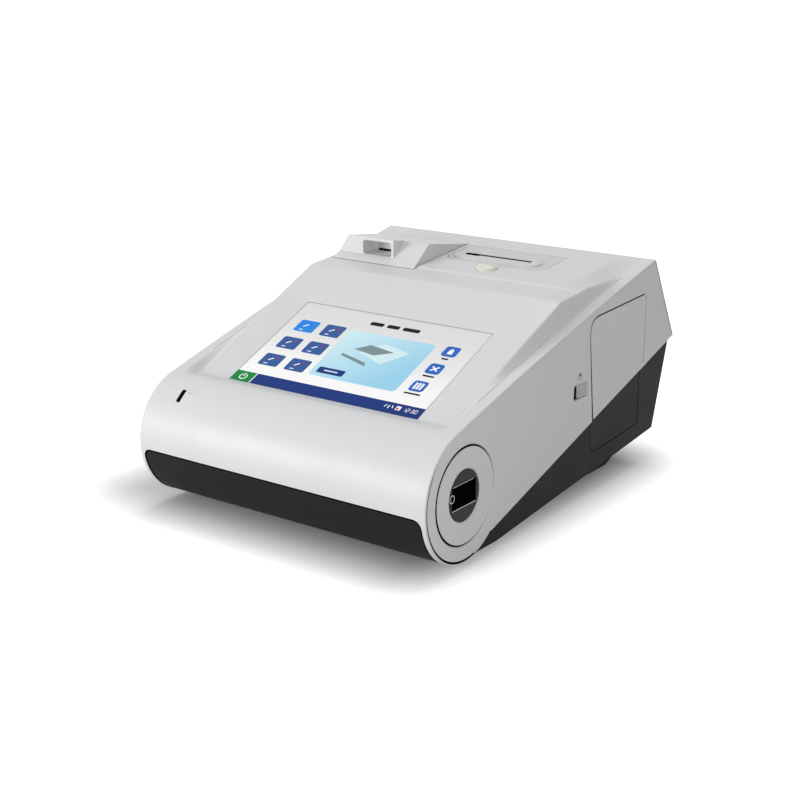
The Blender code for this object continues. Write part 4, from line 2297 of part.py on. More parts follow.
for number in range(PUMP_ROLLERS):
    turn = 2 * math.pi * number / PUMP_ROLLERS + math.pi / 2
    reach = PUMP_ROTOR_RADIUS - PUMP_ROLLER_RADIUS / 4
    x, y = PUMP_X + reach * math.cos(turn), PUMP_Y + reach * math.sin(turn)
    shoe = rod(
        f"pump_shoe_{number + 1}",
        PUMP_ROLLER_RADIUS,
        (x, y, rotor_low + PUMP_PLATE / 2),
        (x, y, rotor_high - PUMP_PLATE / 2),
        sides=16,
    )
    fuse(pump_rotor, shoe)
leg_end = PUMP_Y - PUMP_LEG - VALVE_NIPPLE * 2
bend = arc((PUMP_X, PUMP_Y), PUMP_TUBE_REACH, math.pi, 0, 16)
line = [(PUMP_X + PUMP_TUBE_REACH, leg_end), *bend, (PUMP_X - PUMP_TUBE_REACH, leg_end)]
tube("pump_tube", [(x, y, tube_z) for x, y in line], TUBE_RADIUS, AMBER, sides=1)
valve_back = PUMP_Y - PUMP_LEG
valve = block(
    "valve_block",
    (PUMP_X - VALVE_SIZE[0] / 2, valve_back - VALVE_SIZE[1], DECK_OF_CHASSIS),
    (PUMP_X + VALVE_SIZE[0] / 2, valve_back, DECK_OF_CHASSIS + VALVE_SIZE[2]),
    NATURAL,
    EDGE_ROUND,
)
for name, side in (("left", -1), ("right", 1)):
    leg_room = rod(
        f"leg_room_{name}",
        TUBE_RADIUS + SEAT_GAP,
        (PUMP_X + side * PUMP_TUBE_REACH, leg_end - SEAT_GAP, tube_z),
        (PUMP_X + side * PUMP_TUBE_REACH, PUMP_Y, tube_z),
        sides=16,
    )
    cut(pump, leg_room)
    cut(valve, leg_room)


# Joint axes: each empty carries the pieces that turn about it or slide along its Z
def hang(name, place, *carried):
    pivot = bpy.data.objects.new(name, None)
    parts.objects.link(pivot)
    pivot.matrix_world = place
    for piece in carried:
        moving = bpy.data.objects[piece]
        moving.parent = pivot
        moving.matrix_parent_inverse = place.inverted()


hang(
    "door_axis",
    Matrix.Translation((HINGE_X, DOOR_HINGE_Y, TAB_Z)),
    "fluid_door_upper",
    "fluid_door_lower",
)
hang(
    "latch_axis",
    Matrix.Translation((slider_in, slider_front, latch_middle))
    @ Matrix.Rotation(math.pi / 2, 4, "X"),
    "latch_slider",
)
hang(
    "lid_axis",
    LID @ Matrix.Translation((0, 0, -LID_THICK / 2)) @ Matrix.Rotation(math.pi / 2, 4, "Y"),
    "printer_lid",
)
hang("button_axis", BUTTON, "release_button")
hang("head_axis", Matrix.Translation((port_middle, HEAD_Y, head_low)), "contact_head")
hang("screw_axis", Matrix.Translation((port_middle, HEAD_Y, motor_top)), "lift_screw")
hang("roll_axis", side_frame(paper_middle, PAPER_ROLL_Y, PAPER_ROLL_Z), "paper_roll")
hang("platen_axis", side_frame(paper_middle, *PLATEN), "platen_roller")
hang("idler_axis", side_frame(gear_left, *IDLER), "idler_gear")
hang("pinion_axis", side_frame(gear_left, *PINION), "motor_pinion")
hang("fan_axis", FAN, "fan_rotor")
hang("pump_axis", Matrix.Translation((PUMP_X, PUMP_Y, pump_low)), "pump_rotor")
bpy.context.view_layer.update()
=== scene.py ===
# %% [markdown]
# # A bench blood gas analyzer, dressed for its picture
#
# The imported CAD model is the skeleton: every solid is already in its true place, in metres,
# with X to the operator's right, Y to the back and Z up. This script gives it skins, printed
# marks, a lit screen and finishes. Each step says what the piece is on the real object, how
# it could be made, and why it is made this way here.

# %% Load the frame
import math

import bmesh
import bpy
import numpy as np
from mathutils import Matrix, Vector


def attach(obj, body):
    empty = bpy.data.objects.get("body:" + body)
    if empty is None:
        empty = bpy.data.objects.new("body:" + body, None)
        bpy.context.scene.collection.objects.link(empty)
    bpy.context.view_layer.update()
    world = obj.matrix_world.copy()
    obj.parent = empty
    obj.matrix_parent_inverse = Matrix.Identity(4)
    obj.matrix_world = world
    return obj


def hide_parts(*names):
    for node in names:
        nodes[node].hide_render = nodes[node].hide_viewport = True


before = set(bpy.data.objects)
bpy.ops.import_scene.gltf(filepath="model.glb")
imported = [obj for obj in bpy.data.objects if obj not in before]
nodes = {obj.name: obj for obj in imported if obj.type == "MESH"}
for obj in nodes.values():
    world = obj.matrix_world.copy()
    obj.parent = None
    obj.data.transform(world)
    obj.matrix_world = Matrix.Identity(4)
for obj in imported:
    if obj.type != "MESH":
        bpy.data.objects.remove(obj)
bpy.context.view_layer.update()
MM = 0.001

# %% [markdown]
# ## Finishes
#
# Nearly everything here is injection moulded. A moulded part is never one flat colour: the
# tool's surface leaves a fine grain, the gloss wanders a little, and the pigment is uneven by
# a percent or two. An image could show that, but it would blur up close. One recipe does it
# with two noises on Object coordinates, so the pattern stays with the part. Metals, paper,
# boards and the screen change the recipe's numbers, or add a pattern of their own.


# %% A recipe for moulded and machined surfaces
def finish(
    name, colour, rough, metal=0.0, coat=0.0, grain=0.05, fine=2600, drift=0.03, stretch=None, shine=0.5
):
    """Principled surface. Colour = base * (1 - 2 * drift * broad noise). Roughness = rough *
    (0.85 to 1.15 by the broad noise). Height = fine noise, stretched along one axis if asked."""
    made = bpy.data.materials.new(name)
    made.use_nodes = True
    tree = made.node_tree
    shader = tree.nodes["Principled BSDF"]
    shader.inputs["Metallic"].default_value = metal
    shader.inputs["Specular IOR Level"].default_value = shine
    shader.inputs["Coat Weight"].default_value = coat
    shader.inputs["Coat Roughness"].default_value = 0.08
    place = tree.nodes.new("ShaderNodeTexCoord")
    turn = tree.nodes.new("ShaderNodeMapping")
    turn.inputs["Scale"].default_value = stretch or (1, 1, 1)
    broad = tree.nodes.new("ShaderNodeTexNoise")
    broad.inputs["Scale"].default_value = 34
    broad.inputs["Detail"].default_value = 4
    small = tree.nodes.new("ShaderNodeTexNoise")
    small.inputs["Scale"].default_value = fine
    small.inputs["Detail"].default_value = 2
    tree.links.new(place.outputs["Object"], turn.inputs["Vector"])
    tree.links.new(place.outputs["Object"], broad.inputs["Vector"])
    tree.links.new(turn.outputs["Vector"], small.inputs["Vector"])
    shade = tree.nodes.new("ShaderNodeMix")
    shade.data_type = "RGBA"
    shade.inputs["A"].default_value = (*colour, 1)
    shade.inputs["B"].default_value = (*(c * (1 - 2 * drift) for c in colour), 1)
    tree.links.new(broad.outputs["Fac"], shade.inputs["Factor"])
    tree.links.new(shade.outputs["Result"], shader.inputs["Base Color"])
    gloss = tree.nodes.new("ShaderNodeMapRange")
    gloss.inputs["To Min"].default_value = rough * 0.85
    gloss.inputs["To Max"].default_value = min(1, rough * 1.15)
    tree.links.new(broad.outputs["Fac"], gloss.inputs["Value"])
    tree.links.new(gloss.outputs["Result"], shader.inputs["Roughness"])
    bump = tree.nodes.new("ShaderNodeBump")
    bump.inputs["Strength"].default_value = grain
    bump.inputs["Distance"].default_value = 0.0002
    tree.links.new(small.outputs["Fac"], bump.inputs["Height"])
    tree.links.new(bump.outputs["Normal"], shader.inputs["Normal"])
    made.diffuse_color = (*colour, 1)
    return made


SHELL = finish("shell_white", (0.71, 0.715, 0.722), 0.42, grain=0.06, drift=0.012, shine=0.32)
print("the shell's finish has", len(SHELL.node_tree.nodes), "shader nodes")

# %% [markdown]
# The shell is a cool pale grey with a faint grain, and the lid is a shade darker. The charcoal has a
# coarse grain and hardly shines, so it stays dark under every lamp. The metals look brushed, because
# their fine noise is stretched along one axis. The black is painted shade for seams, gaps and openings,
# and also the black of a printed dot. The grey of the marks also gives thin lines of painted shade in
# creases. The rest are marks on the case and the finishes of the works inside.

# %% The other finishes
LID_GREY = finish("lid_grey", (0.64, 0.642, 0.65), 0.42, grain=0.07, drift=0.015, shine=0.35)
CHARCOAL = finish("base_charcoal", (0.0095, 0.0098, 0.0105), 0.55, grain=0.25, fine=1800, shine=0.1)
CREAM = finish("button_cream", (0.74, 0.72, 0.62), 0.30, coat=0.25, grain=0.03)
WINDOW = finish("window_black", (0.012, 0.012, 0.013), 0.15, grain=0.0, shine=0.1)
# Black for painted shade in seams, gaps and openings; also the black of a printed dot and of the status
# light's window.
SHADE_AND_PRINT_BLACK = finish("shade_and_print_black", (0.0025, 0.0025, 0.0025), 0.8, grain=0.3, fine=1500, shine=0.0)
# Grey for printed and moulded marks, and for thin lines of painted shade in creases and round the glass.
GREY_MARK_AND_SHADE = finish("grey_mark_and_shade", (0.20, 0.20, 0.205), 0.5, grain=0.1, shine=0.2)
RUBBER = finish("rubber_dark", (0.018, 0.018, 0.018), 0.82, grain=0.5, fine=1500, shine=0.2)
STEEL = finish("steel", (0.50, 0.51, 0.52), 0.30, metal=1, grain=0.25, stretch=(1, 1, 0.05))
ALLOY = finish("alloy", (0.66, 0.67, 0.68), 0.38, metal=1, grain=0.2, stretch=(0.05, 1, 1))
BRASS = finish("brass", (0.68, 0.50, 0.21), 0.26, metal=1, grain=0.2, stretch=(1, 1, 0.1))
NATURAL = finish("natural_plastic", (0.70, 0.70, 0.65), 0.45, grain=0.12, drift=0.04)
PAPER = finish("paper", (0.84, 0.84, 0.81), 0.75, grain=0.3, fine=900, drift=0.02)
AMBER = finish("fluid_amber", (0.52, 0.38, 0.17), 0.28, coat=0.3, grain=0.05, drift=0.08)
print(len(bpy.data.materials), "finishes so far")

# %% [markdown]
# ## Circuit boards
#
# A board is green lacquer over copper: tracks run in straight bundles, with dots where they
# change sides. A brick pattern gives the tracks and a Voronoi cell pattern gives the dots,
# both as colour and as a slight height.


# %% Board finish
def board_finish():
    """Green lacquer. Track mask = mortar of a stretched brick grid; dot mask = distance to the
    nearest cell centre below a small radius; both lighten the green."""
    made = finish("board_green", (0.012, 0.10, 0.045), 0.35, coat=0.4, grain=0.0)
    tree = made.node_tree
    shader = tree.nodes["Principled BSDF"]
    place = tree.nodes["Texture Coordinate"]
    tracks = tree.nodes.new("ShaderNodeTexBrick")
    tracks.inputs["Scale"].default_value = 90
    tracks.inputs["Mortar Size"].default_value = 0.05
    tracks.inputs["Color1"].default_value = (0.010, 0.085, 0.038, 1)
    tracks.inputs["Color2"].default_value = (0.014, 0.110, 0.050, 1)
    tracks.inputs["Mortar"].default_value = (0.05, 0.26, 0.10, 1)
    dots = tree.nodes.new("ShaderNodeTexVoronoi")
    dots.inputs["Scale"].default_value = 260
    near = tree.nodes.new("ShaderNodeMath")
    near.operation = "LESS_THAN"
    near.inputs[1].default_value = 0.16
    mix = tree.nodes.new("ShaderNodeMix")
    mix.data_type = "RGBA"
    mix.inputs["B"].default_value = (0.55, 0.50, 0.32, 1)
    tree.links.new(place.outputs["Object"], tracks.inputs["Vector"])
    tree.links.new(place.outputs["Object"], dots.inputs["Vector"])
    tree.links.new(dots.outputs["Distance"], near.inputs[0])
    tree.links.new(near.outputs["Value"], mix.inputs["Factor"])
    tree.links.new(tracks.outputs["Color"], mix.inputs["A"])
    tree.links.new(mix.outputs["Result"], shader.inputs["Base Color"])
    return made


BOARD = board_finish()
print("the board finish has", len(BOARD.node_tree.nodes), "shader nodes")

# %% [markdown]
# ## The screen's light
#
# The picture on the screen is lit from behind, under a smooth cover glass that reflects
# little. A little emission of the same colour keeps whites white when the room is dim, and a
# low specular level keeps reflections weak. Each colour of the picture is one such finish.


# %% Lit colours
def lit(name, colour, glow=0.3):
    """A smooth printed colour that also shines: emission = glow * colour."""
    made = finish(name, colour, 0.25, grain=0.0, drift=0.01, shine=0.04)
    shader = made.node_tree.nodes["Principled BSDF"]
    shader.inputs["Emission Color"].default_value = (*colour, 1)
    shader.inputs["Emission Strength"].default_value = glow
    return made


PICTURE_WHITE = lit("picture_white", (0.80, 0.80, 0.79))
PICTURE_NAVY = lit("picture_navy", (0.013, 0.034, 0.170))
PICTURE_TILE = lit("picture_tile", (0.036, 0.090, 0.27))
PICTURE_BRIGHT = lit("picture_bright", (0.022, 0.20, 0.62))
PICTURE_SIDE = lit("picture_side", (0.028, 0.115, 0.43))
PICTURE_GREEN = lit("picture_green", (0.010, 0.20, 0.045))
PICTURE_INK = lit("picture_ink", (0.010, 0.010, 0.012), glow=0.0)
PICTURE_GREY = lit("picture_grey", (0.17, 0.235, 0.25))
PICTURE_MIST = lit("picture_mist", (0.55, 0.70, 0.72))
PICTURE_RED = lit("picture_red", (0.42, 0.012, 0.020))


SKY_TILT = (12, -9, -4)


def sky_finish():
    """A pale blue that deepens to the lower right: mix = the place's dot product with the tilt,
    from -0.25 to 0.75."""
    made = lit("picture_sky", (0.40, 0.66, 0.80))
    tree = made.node_tree
    shader = tree.nodes["Principled BSDF"]
    aim = tree.nodes.new("ShaderNodeVectorMath")
    aim.operation = "DOT_PRODUCT"
    aim.inputs[1].default_value = SKY_TILT
    ramp = tree.nodes.new("ShaderNodeMapRange")
    ramp.inputs["From Min"].default_value = -0.25
    ramp.inputs["From Max"].default_value = 0.75
    mix = tree.nodes.new("ShaderNodeMix")
    mix.data_type = "RGBA"
    mix.inputs["A"].default_value = (0.50, 0.68, 0.73, 1)
    mix.inputs["B"].default_value = (0.27, 0.53, 0.68, 1)
    tree.links.new(tree.nodes["Texture Coordinate"].outputs["Object"], aim.inputs[0])
    tree.links.new(aim.outputs["Value"], ramp.inputs["Value"])
    tree.links.new(ramp.outputs["Result"], mix.inputs["Factor"])
    tree.links.new(mix.outputs["Result"], shader.inputs["Base Color"])
    tree.links.new(mix.outputs["Result"], shader.inputs["Emission Color"])
    return made


PICTURE_SKY = sky_finish()
print(len(bpy.data.materials), "finishes")

# %% [markdown]
# ## Tools for shapes
#
# A skin is a function of two numbers, worked out for a whole grid at once. These few tools
# turn arrays of points into meshes, so each piece below only has to give its formula.


# %% Arrays to meshes
WELD = 0.000002


def quads(rows, columns, ring_rows=False, ring_columns=False):
    """Corner numbers of each cell of a grid: (i, j), (i, j+1), (i+1, j+1), (i+1, j)."""
    i = np.arange(rows if ring_rows else rows - 1)[:, None]
    j = np.arange(columns if ring_columns else columns - 1)[None, :]
    below, beside = (i + 1) % rows, (j + 1) % columns
    corners = [i * columns + j, i * columns + beside, below * columns + beside, below * columns + j]
    return np.stack([np.broadcast_to(c, (i.size, j.size)) for c in corners], axis=-1).reshape(-1, 4)


def smooth(piece, angle=32):
    """Smooth shading, with edges sharper than the angle kept crisp."""
    mesh = piece.data
    mesh.polygons.foreach_set("use_smooth", np.ones(len(mesh.polygons), bool))
    mesh.set_sharp_from_angle(angle=math.radians(angle))
    return piece


def tidy_mesh(mesh, flatten=0.0):
    """Welds doubles, drops slivers, joins faces that meet below the flatten angle in degrees,
    if one is given, and turns every face outwards."""
    shape = bmesh.new()
    shape.from_mesh(mesh)
    bmesh.ops.remove_doubles(shape, verts=shape.verts, dist=WELD)
    bmesh.ops.dissolve_degenerate(shape, edges=shape.edges, dist=WELD)
    if flatten:
        bmesh.ops.dissolve_limit(
            shape, angle_limit=math.radians(flatten), verts=shape.verts, edges=shape.edges
        )
    bmesh.ops.recalc_face_normals(shape, faces=shape.faces)
    shape.to_mesh(mesh)
    shape.free()


def shape_of(name, points, faces, material, place=None, angle=32):
    """A mesh object from arrays, moved into its place in the object's own frame."""
    mesh = bpy.data.meshes.new(name)
    mesh.from_pydata(np.asarray(points).tolist(), [], [list(face) for face in faces])
    if place is not None:
        mesh.transform(place)
    tidy_mesh(mesh)
    made = bpy.data.objects.new(name, mesh)
    bpy.context.scene.collection.objects.link(made)
    mesh.materials.append(material)
    return smooth(made, angle)


def keep(piece, body, slot, *stands_for):
    """Ties a piece to its moving body and hides what it stands for. The slot is not used."""
    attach(piece, body)
    if stands_for:
        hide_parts(*stands_for)
    return piece


print("a grid of 3 rows and 4 columns has", len(quads(3, 4)), "cells")

# %% [markdown]
# Two kinds of shape come up again and again: something turned on an axis, such as the ring or
# a foot, and a flat outline with a thickness, such as a printed mark or a plate.


# %% Turned and flat shapes
def turned(name, profile, place, material, steps=96, angle=32):
    """Profile points (r, h) turned about the frame's Z: (r cos a, r sin a, h) for every angle
    a. A profile that starts and ends on the axis closes itself; any other is a ring."""
    profile = np.asarray(profile, float)
    a = np.linspace(0, 2 * math.pi, steps, endpoint=False)
    r, h = profile[:, :1], profile[:, 1:]
    points = np.stack([r * np.cos(a), r * np.sin(a), h + 0 * a], axis=-1).reshape(-1, 3)
    closed = min(profile[0, 0], profile[-1, 0]) > 0
    faces = quads(len(profile), steps, ring_rows=closed, ring_columns=True)
    return shape_of(name, points, faces, material, place, angle)


def slab_arrays(loop, low, high):
    """Points and faces of a flat outline (n, 2) given a thickness from low to high."""
    loop = np.asarray(loop, float)
    count = len(loop)
    heights = np.repeat([low, high], count)[:, None]
    points = np.hstack([np.vstack([loop, loop]), heights])
    sides = quads(2, count, ring_columns=True)
    faces = sides.tolist() + [list(range(count))[::-1], list(range(count, 2 * count))]
    return points, faces


def slabs(name, loops, low, high, place, material, angle=32):
    """Several flat outlines of one thickness as one piece."""
    points, faces, first = [], [], 0
    for loop in loops:
        some, cells = slab_arrays(loop, low, high)
        points.append(some)
        faces += [[corner + first for corner in cell] for cell in cells]
        first += len(some)
    return shape_of(name, np.vstack(points), faces, material, place, angle)


def round_box(centre, size, radius, steps=6):
    """A rectangle with round corners: each corner is a quarter circle about its own centre."""
    half = np.array(size) / 2 - radius
    a = np.linspace(0, math.pi / 2, steps + 1)
    signs = np.array([(1, 1), (-1, 1), (-1, -1), (1, -1)])
    turns = a[None, :] + np.arange(4)[:, None] * math.pi / 2
    corner = signs[:, None, :] * half
    return (corner + radius * np.stack([np.cos(turns), np.sin(turns)], -1)).reshape(-1, 2) + centre


def rectangle(left, right, low, high):
    """The four corners, counter-clockwise, from sides given in millimetres."""
    return np.array([(left, low), (right, low), (right, high), (left, high)]) * MM


def disc(centre, radius, steps=32):
    """Points round a circle."""
    a = np.linspace(0, 2 * math.pi, steps, endpoint=False)
    return np.stack([np.cos(a), np.sin(a)], -1) * radius + np.asarray(centre)


print("a box with round corners has", len(round_box((0, 0), (4, 2), 0.5)), "points")

# %% [markdown]
# Many CAD solids already have the right shape and only lack a finish. Their meshes come as
# loose triangles, so a copy is welded, its flat faces are joined, and a small bevel catches
# the light on each edge, as a moulded corner does. The copy then stands for the solid.


# %% Dressed copies of solids
def soften(piece, edge, segments=2, angle=32):
    """A bevel on every edge sharper than the angle, and smooth shading between them."""
    bevel = piece.modifiers.new("edges", "BEVEL")
    bevel.width = edge
    bevel.segments = segments
    bevel.limit_method = "ANGLE"
    bevel.angle_limit = math.radians(angle)
    bevel.harden_normals = True
    bevel.miter_outer = "MITER_ARC"
    return smooth(piece, angle)


def dressed(node, body, slot, material, edge=0.3 * MM, segments=2, angle=32, flatten=0.3):
    """A welded copy of a CAD solid with softened edges, which then stands for the solid."""
    mesh = nodes[node].data.copy()
    mesh.name = node + "_skin"
    tidy_mesh(mesh, flatten)
    mesh.materials.clear()
    mesh.materials.append(material)
    made = bpy.data.objects.new(node + "_skin", mesh)
    bpy.context.scene.collection.objects.link(made)
    if edge:
        soften(made, edge, segments, angle)
    smooth(made, angle)
    return keep(made, body, slot, node)


print("the cover's solid has", len(nodes["upper_cover"].data.polygons), "loose triangles")

# %% [markdown]
# ## The body's outline
#
# Seen from the side the body is a roll of 43 mm radius at the front, a rail that climbs with a
# slight bow to the back, a leaning back wall, and a wedge line where the pale sides end. These
# few numbers place every skin. Each point is a pair (y, z): the screen's lower edge, the top of
# the back wall, and its lower end, where the wedge line meets it.

# %% Driving sizes
HALF = 116 * MM
WALL = 2.4 * MM
ROLL_R, ROLL_Y, ROLL_Z = 43 * MM, -114.5 * MM, 47.4 * MM
RAIL_TURN = math.radians(73.7)
COVER_UNDER = math.radians(-95)
RAIL_BOW = 2.2 * MM
BACK_TOP = (123.5 * MM, 153 * MM)
REAR = (157.5 * MM, 91.5 * MM)
SCREEN_FOOT = (-111.5 * MM, 88 * MM)
DECK_SLOPE = 0.435
DECK_ANGLE = math.atan(DECK_SLOPE)
CREASE_Y, RIDGE_Y, RIDGE_RUN, RIDGE_RISE = 10.5 * MM, 34.5 * MM, 3 * MM, 1 * MM
SHOULDER_Y, SHOULDER_END_Y, SHOULDER_DROP = 45 * MM, 86 * MM, 4.5 * MM
SHOULDER_X, SHOULDER_WIDENS = 102.5, 2.9
DIP = 0.6 * MM
SCREEN = (154.1 * MM, 92.2 * MM)
rail_start = np.array([ROLL_Y - ROLL_R * math.cos(RAIL_TURN), ROLL_Z + ROLL_R * math.sin(RAIL_TURN)])


def rail_z(y):
    """Rail height: straight from the roll to the back, plus a bow 4 b s (1 - s)."""
    s = (y - rail_start[0]) / (BACK_TOP[0] - rail_start[0])
    return rail_start[1] + s * (BACK_TOP[1] - rail_start[1]) + 4 * RAIL_BOW * s * (1 - s)


def deck_z(y):
    """Height of the screen's plane."""
    return SCREEN_FOOT[1] + DECK_SLOPE * (y - SCREEN_FOOT[0])


CREASE_Z = deck_z(CREASE_Y)
TOP_SLOPE = (BACK_TOP[1] - CREASE_Z) / (BACK_TOP[0] - CREASE_Y)


def top_z(y):
    """Height of the top behind the crease."""
    return CREASE_Z + TOP_SLOPE * (y - CREASE_Y)


def crown_z(y):
    """Height of the raised middle behind the ridge."""
    return top_z(y) + RIDGE_RISE * (BACK_TOP[0] - y) / (BACK_TOP[0] - RIDGE_Y)


print("crease", round(CREASE_Z / MM, 1), "mm up, deck", round(math.degrees(DECK_ANGLE), 1), "degrees")

# %% [markdown]
# ## The top cover
#
# One moulding wraps the roll, carries the screen in a shallow dish, breaks at a crease, steps
# up at a ridge and falls over the back. It could be modelled by pushing vertices about. Here
# it is a sheet instead: one number runs along the side outline, the other across. Along it,
# three heights are known, for the middle, the shoulder and the rail. Averaging each over a
# short stretch rounds every crease, the way a tool's cutter leaves it.


# %% Heights along the cover
def cover_lines():
    """Along the outline: y, middle, shoulder and rail heights and the shoulder's half width."""
    a = np.linspace(COVER_UNDER, RAIL_TURN, 400)
    y, z = ROLL_Y - ROLL_R * np.cos(a), ROLL_Z + ROLL_R * np.sin(a)
    share = np.linspace(0, 1, 40)[1:]
    dip_y = rail_start[0] + share * (SCREEN_FOOT[0] - rail_start[0])
    dip_z = rail_start[1] + share * (SCREEN_FOOT[1] - rail_start[1]) + DIP * np.sin(2 * math.pi * share)
    deck_y = np.linspace(SCREEN_FOOT[0], CREASE_Y, 300)[1:]
    top_y = np.linspace(CREASE_Y, RIDGE_Y, 60)[1:]
    step_y = np.linspace(RIDGE_Y, RIDGE_Y + RIDGE_RUN, 12)[1:]
    crown_y = np.linspace(RIDGE_Y + RIDGE_RUN, BACK_TOP[0], 200)[1:]
    fall = np.linspace(0, 1, 120)[1:]
    back_y = BACK_TOP[0] + fall * (REAR[0] - BACK_TOP[0])
    back_z = BACK_TOP[1] + fall * (REAR[1] - BACK_TOP[1])
    rise = (step_y - RIDGE_Y) / RIDGE_RUN
    step_z = top_z(step_y) * (1 - rise) + crown_z(step_y) * rise
    knots = np.array([RIDGE_Y + RIDGE_RUN, SHOULDER_Y, SHOULDER_END_Y, BACK_TOP[0]])
    drop = SHOULDER_DROP * np.clip((knots - SHOULDER_Y) / (SHOULDER_END_Y - SHOULDER_Y), 0, 1)
    edge_knots = np.append(np.maximum(top_z(knots) - drop, rail_z(knots))[:3], BACK_TOP[1])
    edge_z = np.interp(crown_y, knots, edge_knots)
    ys = np.concatenate([y, dip_y, deck_y, top_y, step_y, crown_y, back_y])
    middle = np.concatenate([z, dip_z, deck_z(deck_y), top_z(top_y), step_z, crown_z(crown_y), back_z])
    edge = np.concatenate([z, dip_z, deck_z(deck_y), top_z(top_y), top_z(step_y), edge_z, back_z])
    railed = np.concatenate([dip_y, deck_y, top_y, step_y, crown_y])
    rail = np.concatenate([z, rail_z(railed), back_z])
    widen = np.clip((ys - SCREEN_FOOT[0]) / (CREASE_Y - SCREEN_FOOT[0]), 0, 1)
    shoulder = (SHOULDER_X + SHOULDER_WIDENS * widen) * MM
    return np.stack([ys, middle, edge, rail, shoulder])


def averaged(lines, width, step=0.25 * MM):
    """The lines sampled every step along the middle's length and averaged over a width with a
    hat-shaped weight. Odd reflection at the ends keeps them straight there."""
    length = np.append(0, np.cumsum(np.hypot(np.diff(lines[0]), np.diff(lines[1]))))
    at = np.arange(0, length[-1], step)
    even = np.stack([np.interp(at, length, line) for line in lines])
    reach = max(1, round(width / step))
    hat = np.convolve(np.ones(reach), np.ones(reach))
    padded = np.pad(even, ((0, 0), (reach - 1, reach - 1)), "reflect", reflect_type="odd")
    return at, np.stack([np.convolve(line, hat / hat.sum(), "valid") for line in padded])


OUTER_SPREAD, INNER_SPREAD = 1.6 * MM, 5 * MM
lines = cover_lines()
at, soft = averaged(lines, OUTER_SPREAD)
deep = averaged(lines, INNER_SPREAD)[1]
print("cover outline", round(at[-1] / MM), "mm long,", at.size, "samples")

# %% [markdown]
# Rows are needed where the outline turns and hardly anywhere else. So the rows are spaced by
# equal steps of length plus turning, which puts many in the roll and the creases and few on
# the flats.


# %% Rows and columns of the cover
def stations(at, soft, longest=4 * MM, turn=math.radians(3)):
    """Row positions with equal steps of (length / longest + turning / turn)."""
    turning = np.zeros_like(at)
    for heights in soft[1:4]:
        heading = np.unwrap(np.arctan2(np.gradient(heights), np.gradient(soft[0])))
        turning = np.maximum(turning, np.abs(np.gradient(heading, at)))
    cost = np.append(0, np.cumsum(np.diff(at) * (1 / longest + turning[1:] / turn)))
    return np.interp(np.linspace(0, cost[-1], round(cost[-1]) + 1), cost, at)


def across(shoulder):
    """Half the columns for each row, in even steps between anchors: the middle, the screen's
    edge, the bend, both sides of the shoulder, both sides of the rail and the rim."""
    one = np.ones_like(shoulder)
    anchors = [0, 77.05, 92, shoulder / MM - 1.5, shoulder / MM + 0.5, 107.6, 109, 115.2]
    counts = [12, 8, 7, 7, 6, 4, 6]
    steps = []
    for (low, high), count in zip(zip(anchors, anchors[1:]), counts):
        share = np.linspace(0, 1, count, endpoint=False)
        steps.append((low * one)[:, None] + share * ((high - low) * one)[:, None])
    steps.append((anchors[-1] * one)[:, None])
    return np.hstack(steps) * MM


rows = stations(at, soft)
row_soft = np.stack([np.interp(rows, at, line) for line in soft])
row_deep = np.stack([np.interp(rows, at[: deep.shape[1]], line) for line in deep])
half_x = across(row_soft[4])
print(rows.size, "rows of", half_x.shape[1], "columns each side")

# %% [markdown]
# The dish round the screen is shallow: its side strips lean in by about three degrees and meet
# the top strip at a mitre. The depth at a point is the larger of two ramps, one across and one
# up the slope, and the mitre is simply where the two are equal.


# %% The dish round the screen
DISH_LOW, DISH_HIGH = 1.2 * MM, 0.7 * MM
DISH_SIDE, DISH_TOP, DISH_FOOT, DISH_FADE = 26 * MM, 19 * MM, 9 * MM, 14 * MM


def dish(x, y):
    """Height added round the screen: -low + (low + high) * max(side ramp, top ramp, foot ramp),
    faded to nothing below the foot and behind the crease."""
    half_run = SCREEN[1] / 2 * math.cos(DECK_ANGLE)
    middle = SCREEN_FOOT[0] + half_run
    side = np.clip((np.abs(x) - SCREEN[0] / 2) / DISH_SIDE, 0, 1)
    up = np.clip((y - middle - half_run) / DISH_TOP, 0, 1)
    down = np.clip((middle - half_run - y) / DISH_FOOT, 0, 1)
    ramp = np.maximum(np.maximum(side, 1 - (1 - up) ** 2), 1 - (1 - down) ** 2)
    added = -DISH_LOW + (DISH_LOW + DISH_HIGH) * ramp
    fade_down = np.clip((y - (SCREEN_FOOT[0] - DISH_FADE)) / DISH_FADE, 0, 1)
    fade_up = np.clip((RIDGE_Y - y) / (RIDGE_Y - CREASE_Y), 0, 1)
    return added * fade_down * fade_down * (3 - 2 * fade_down) * fade_up


print("the dish is", round((DISH_LOW + DISH_HIGH) / MM, 1), "mm deep over", round(DISH_SIDE / MM), "mm")

# %% [markdown]
# Seen across, the cover runs level from the middle, bends a little before the shoulder and
# drops steeply to the flat rail. Each corner has a small radius. Averaging the broken line at
# seven places side by side gives all of them at once, without a curve for each.

# %% Height across the cover
BEND_X, RAIL_X, CORNER_SPREAD = 92 * MM, 107 * MM, 0.7 * MM


def cover_height(x, row):
    """Height at half-distance x for each row: straight runs from the middle to the shoulder
    to the rail, averaged over a short width so that the corners are round."""
    _, middle, edge, rail, shoulder = (line[:, None] for line in row)
    total = 0
    offsets = np.linspace(-1, 1, 7) * CORNER_SPREAD
    for offset in offsets:
        away = np.abs(x + offset)
        out = np.clip((away - BEND_X) / (shoulder - BEND_X), 0, 1)
        ramp = np.clip((away - shoulder) / (RAIL_X - shoulder), 0, 1)
        total = total + middle + (edge - middle) * out + (rail - edge) * ramp
    return total / offsets.size


middle_height = cover_height(half_x, row_soft)[:, 0]
print("the middle rises to", round(middle_height.max() / MM, 1), "mm")

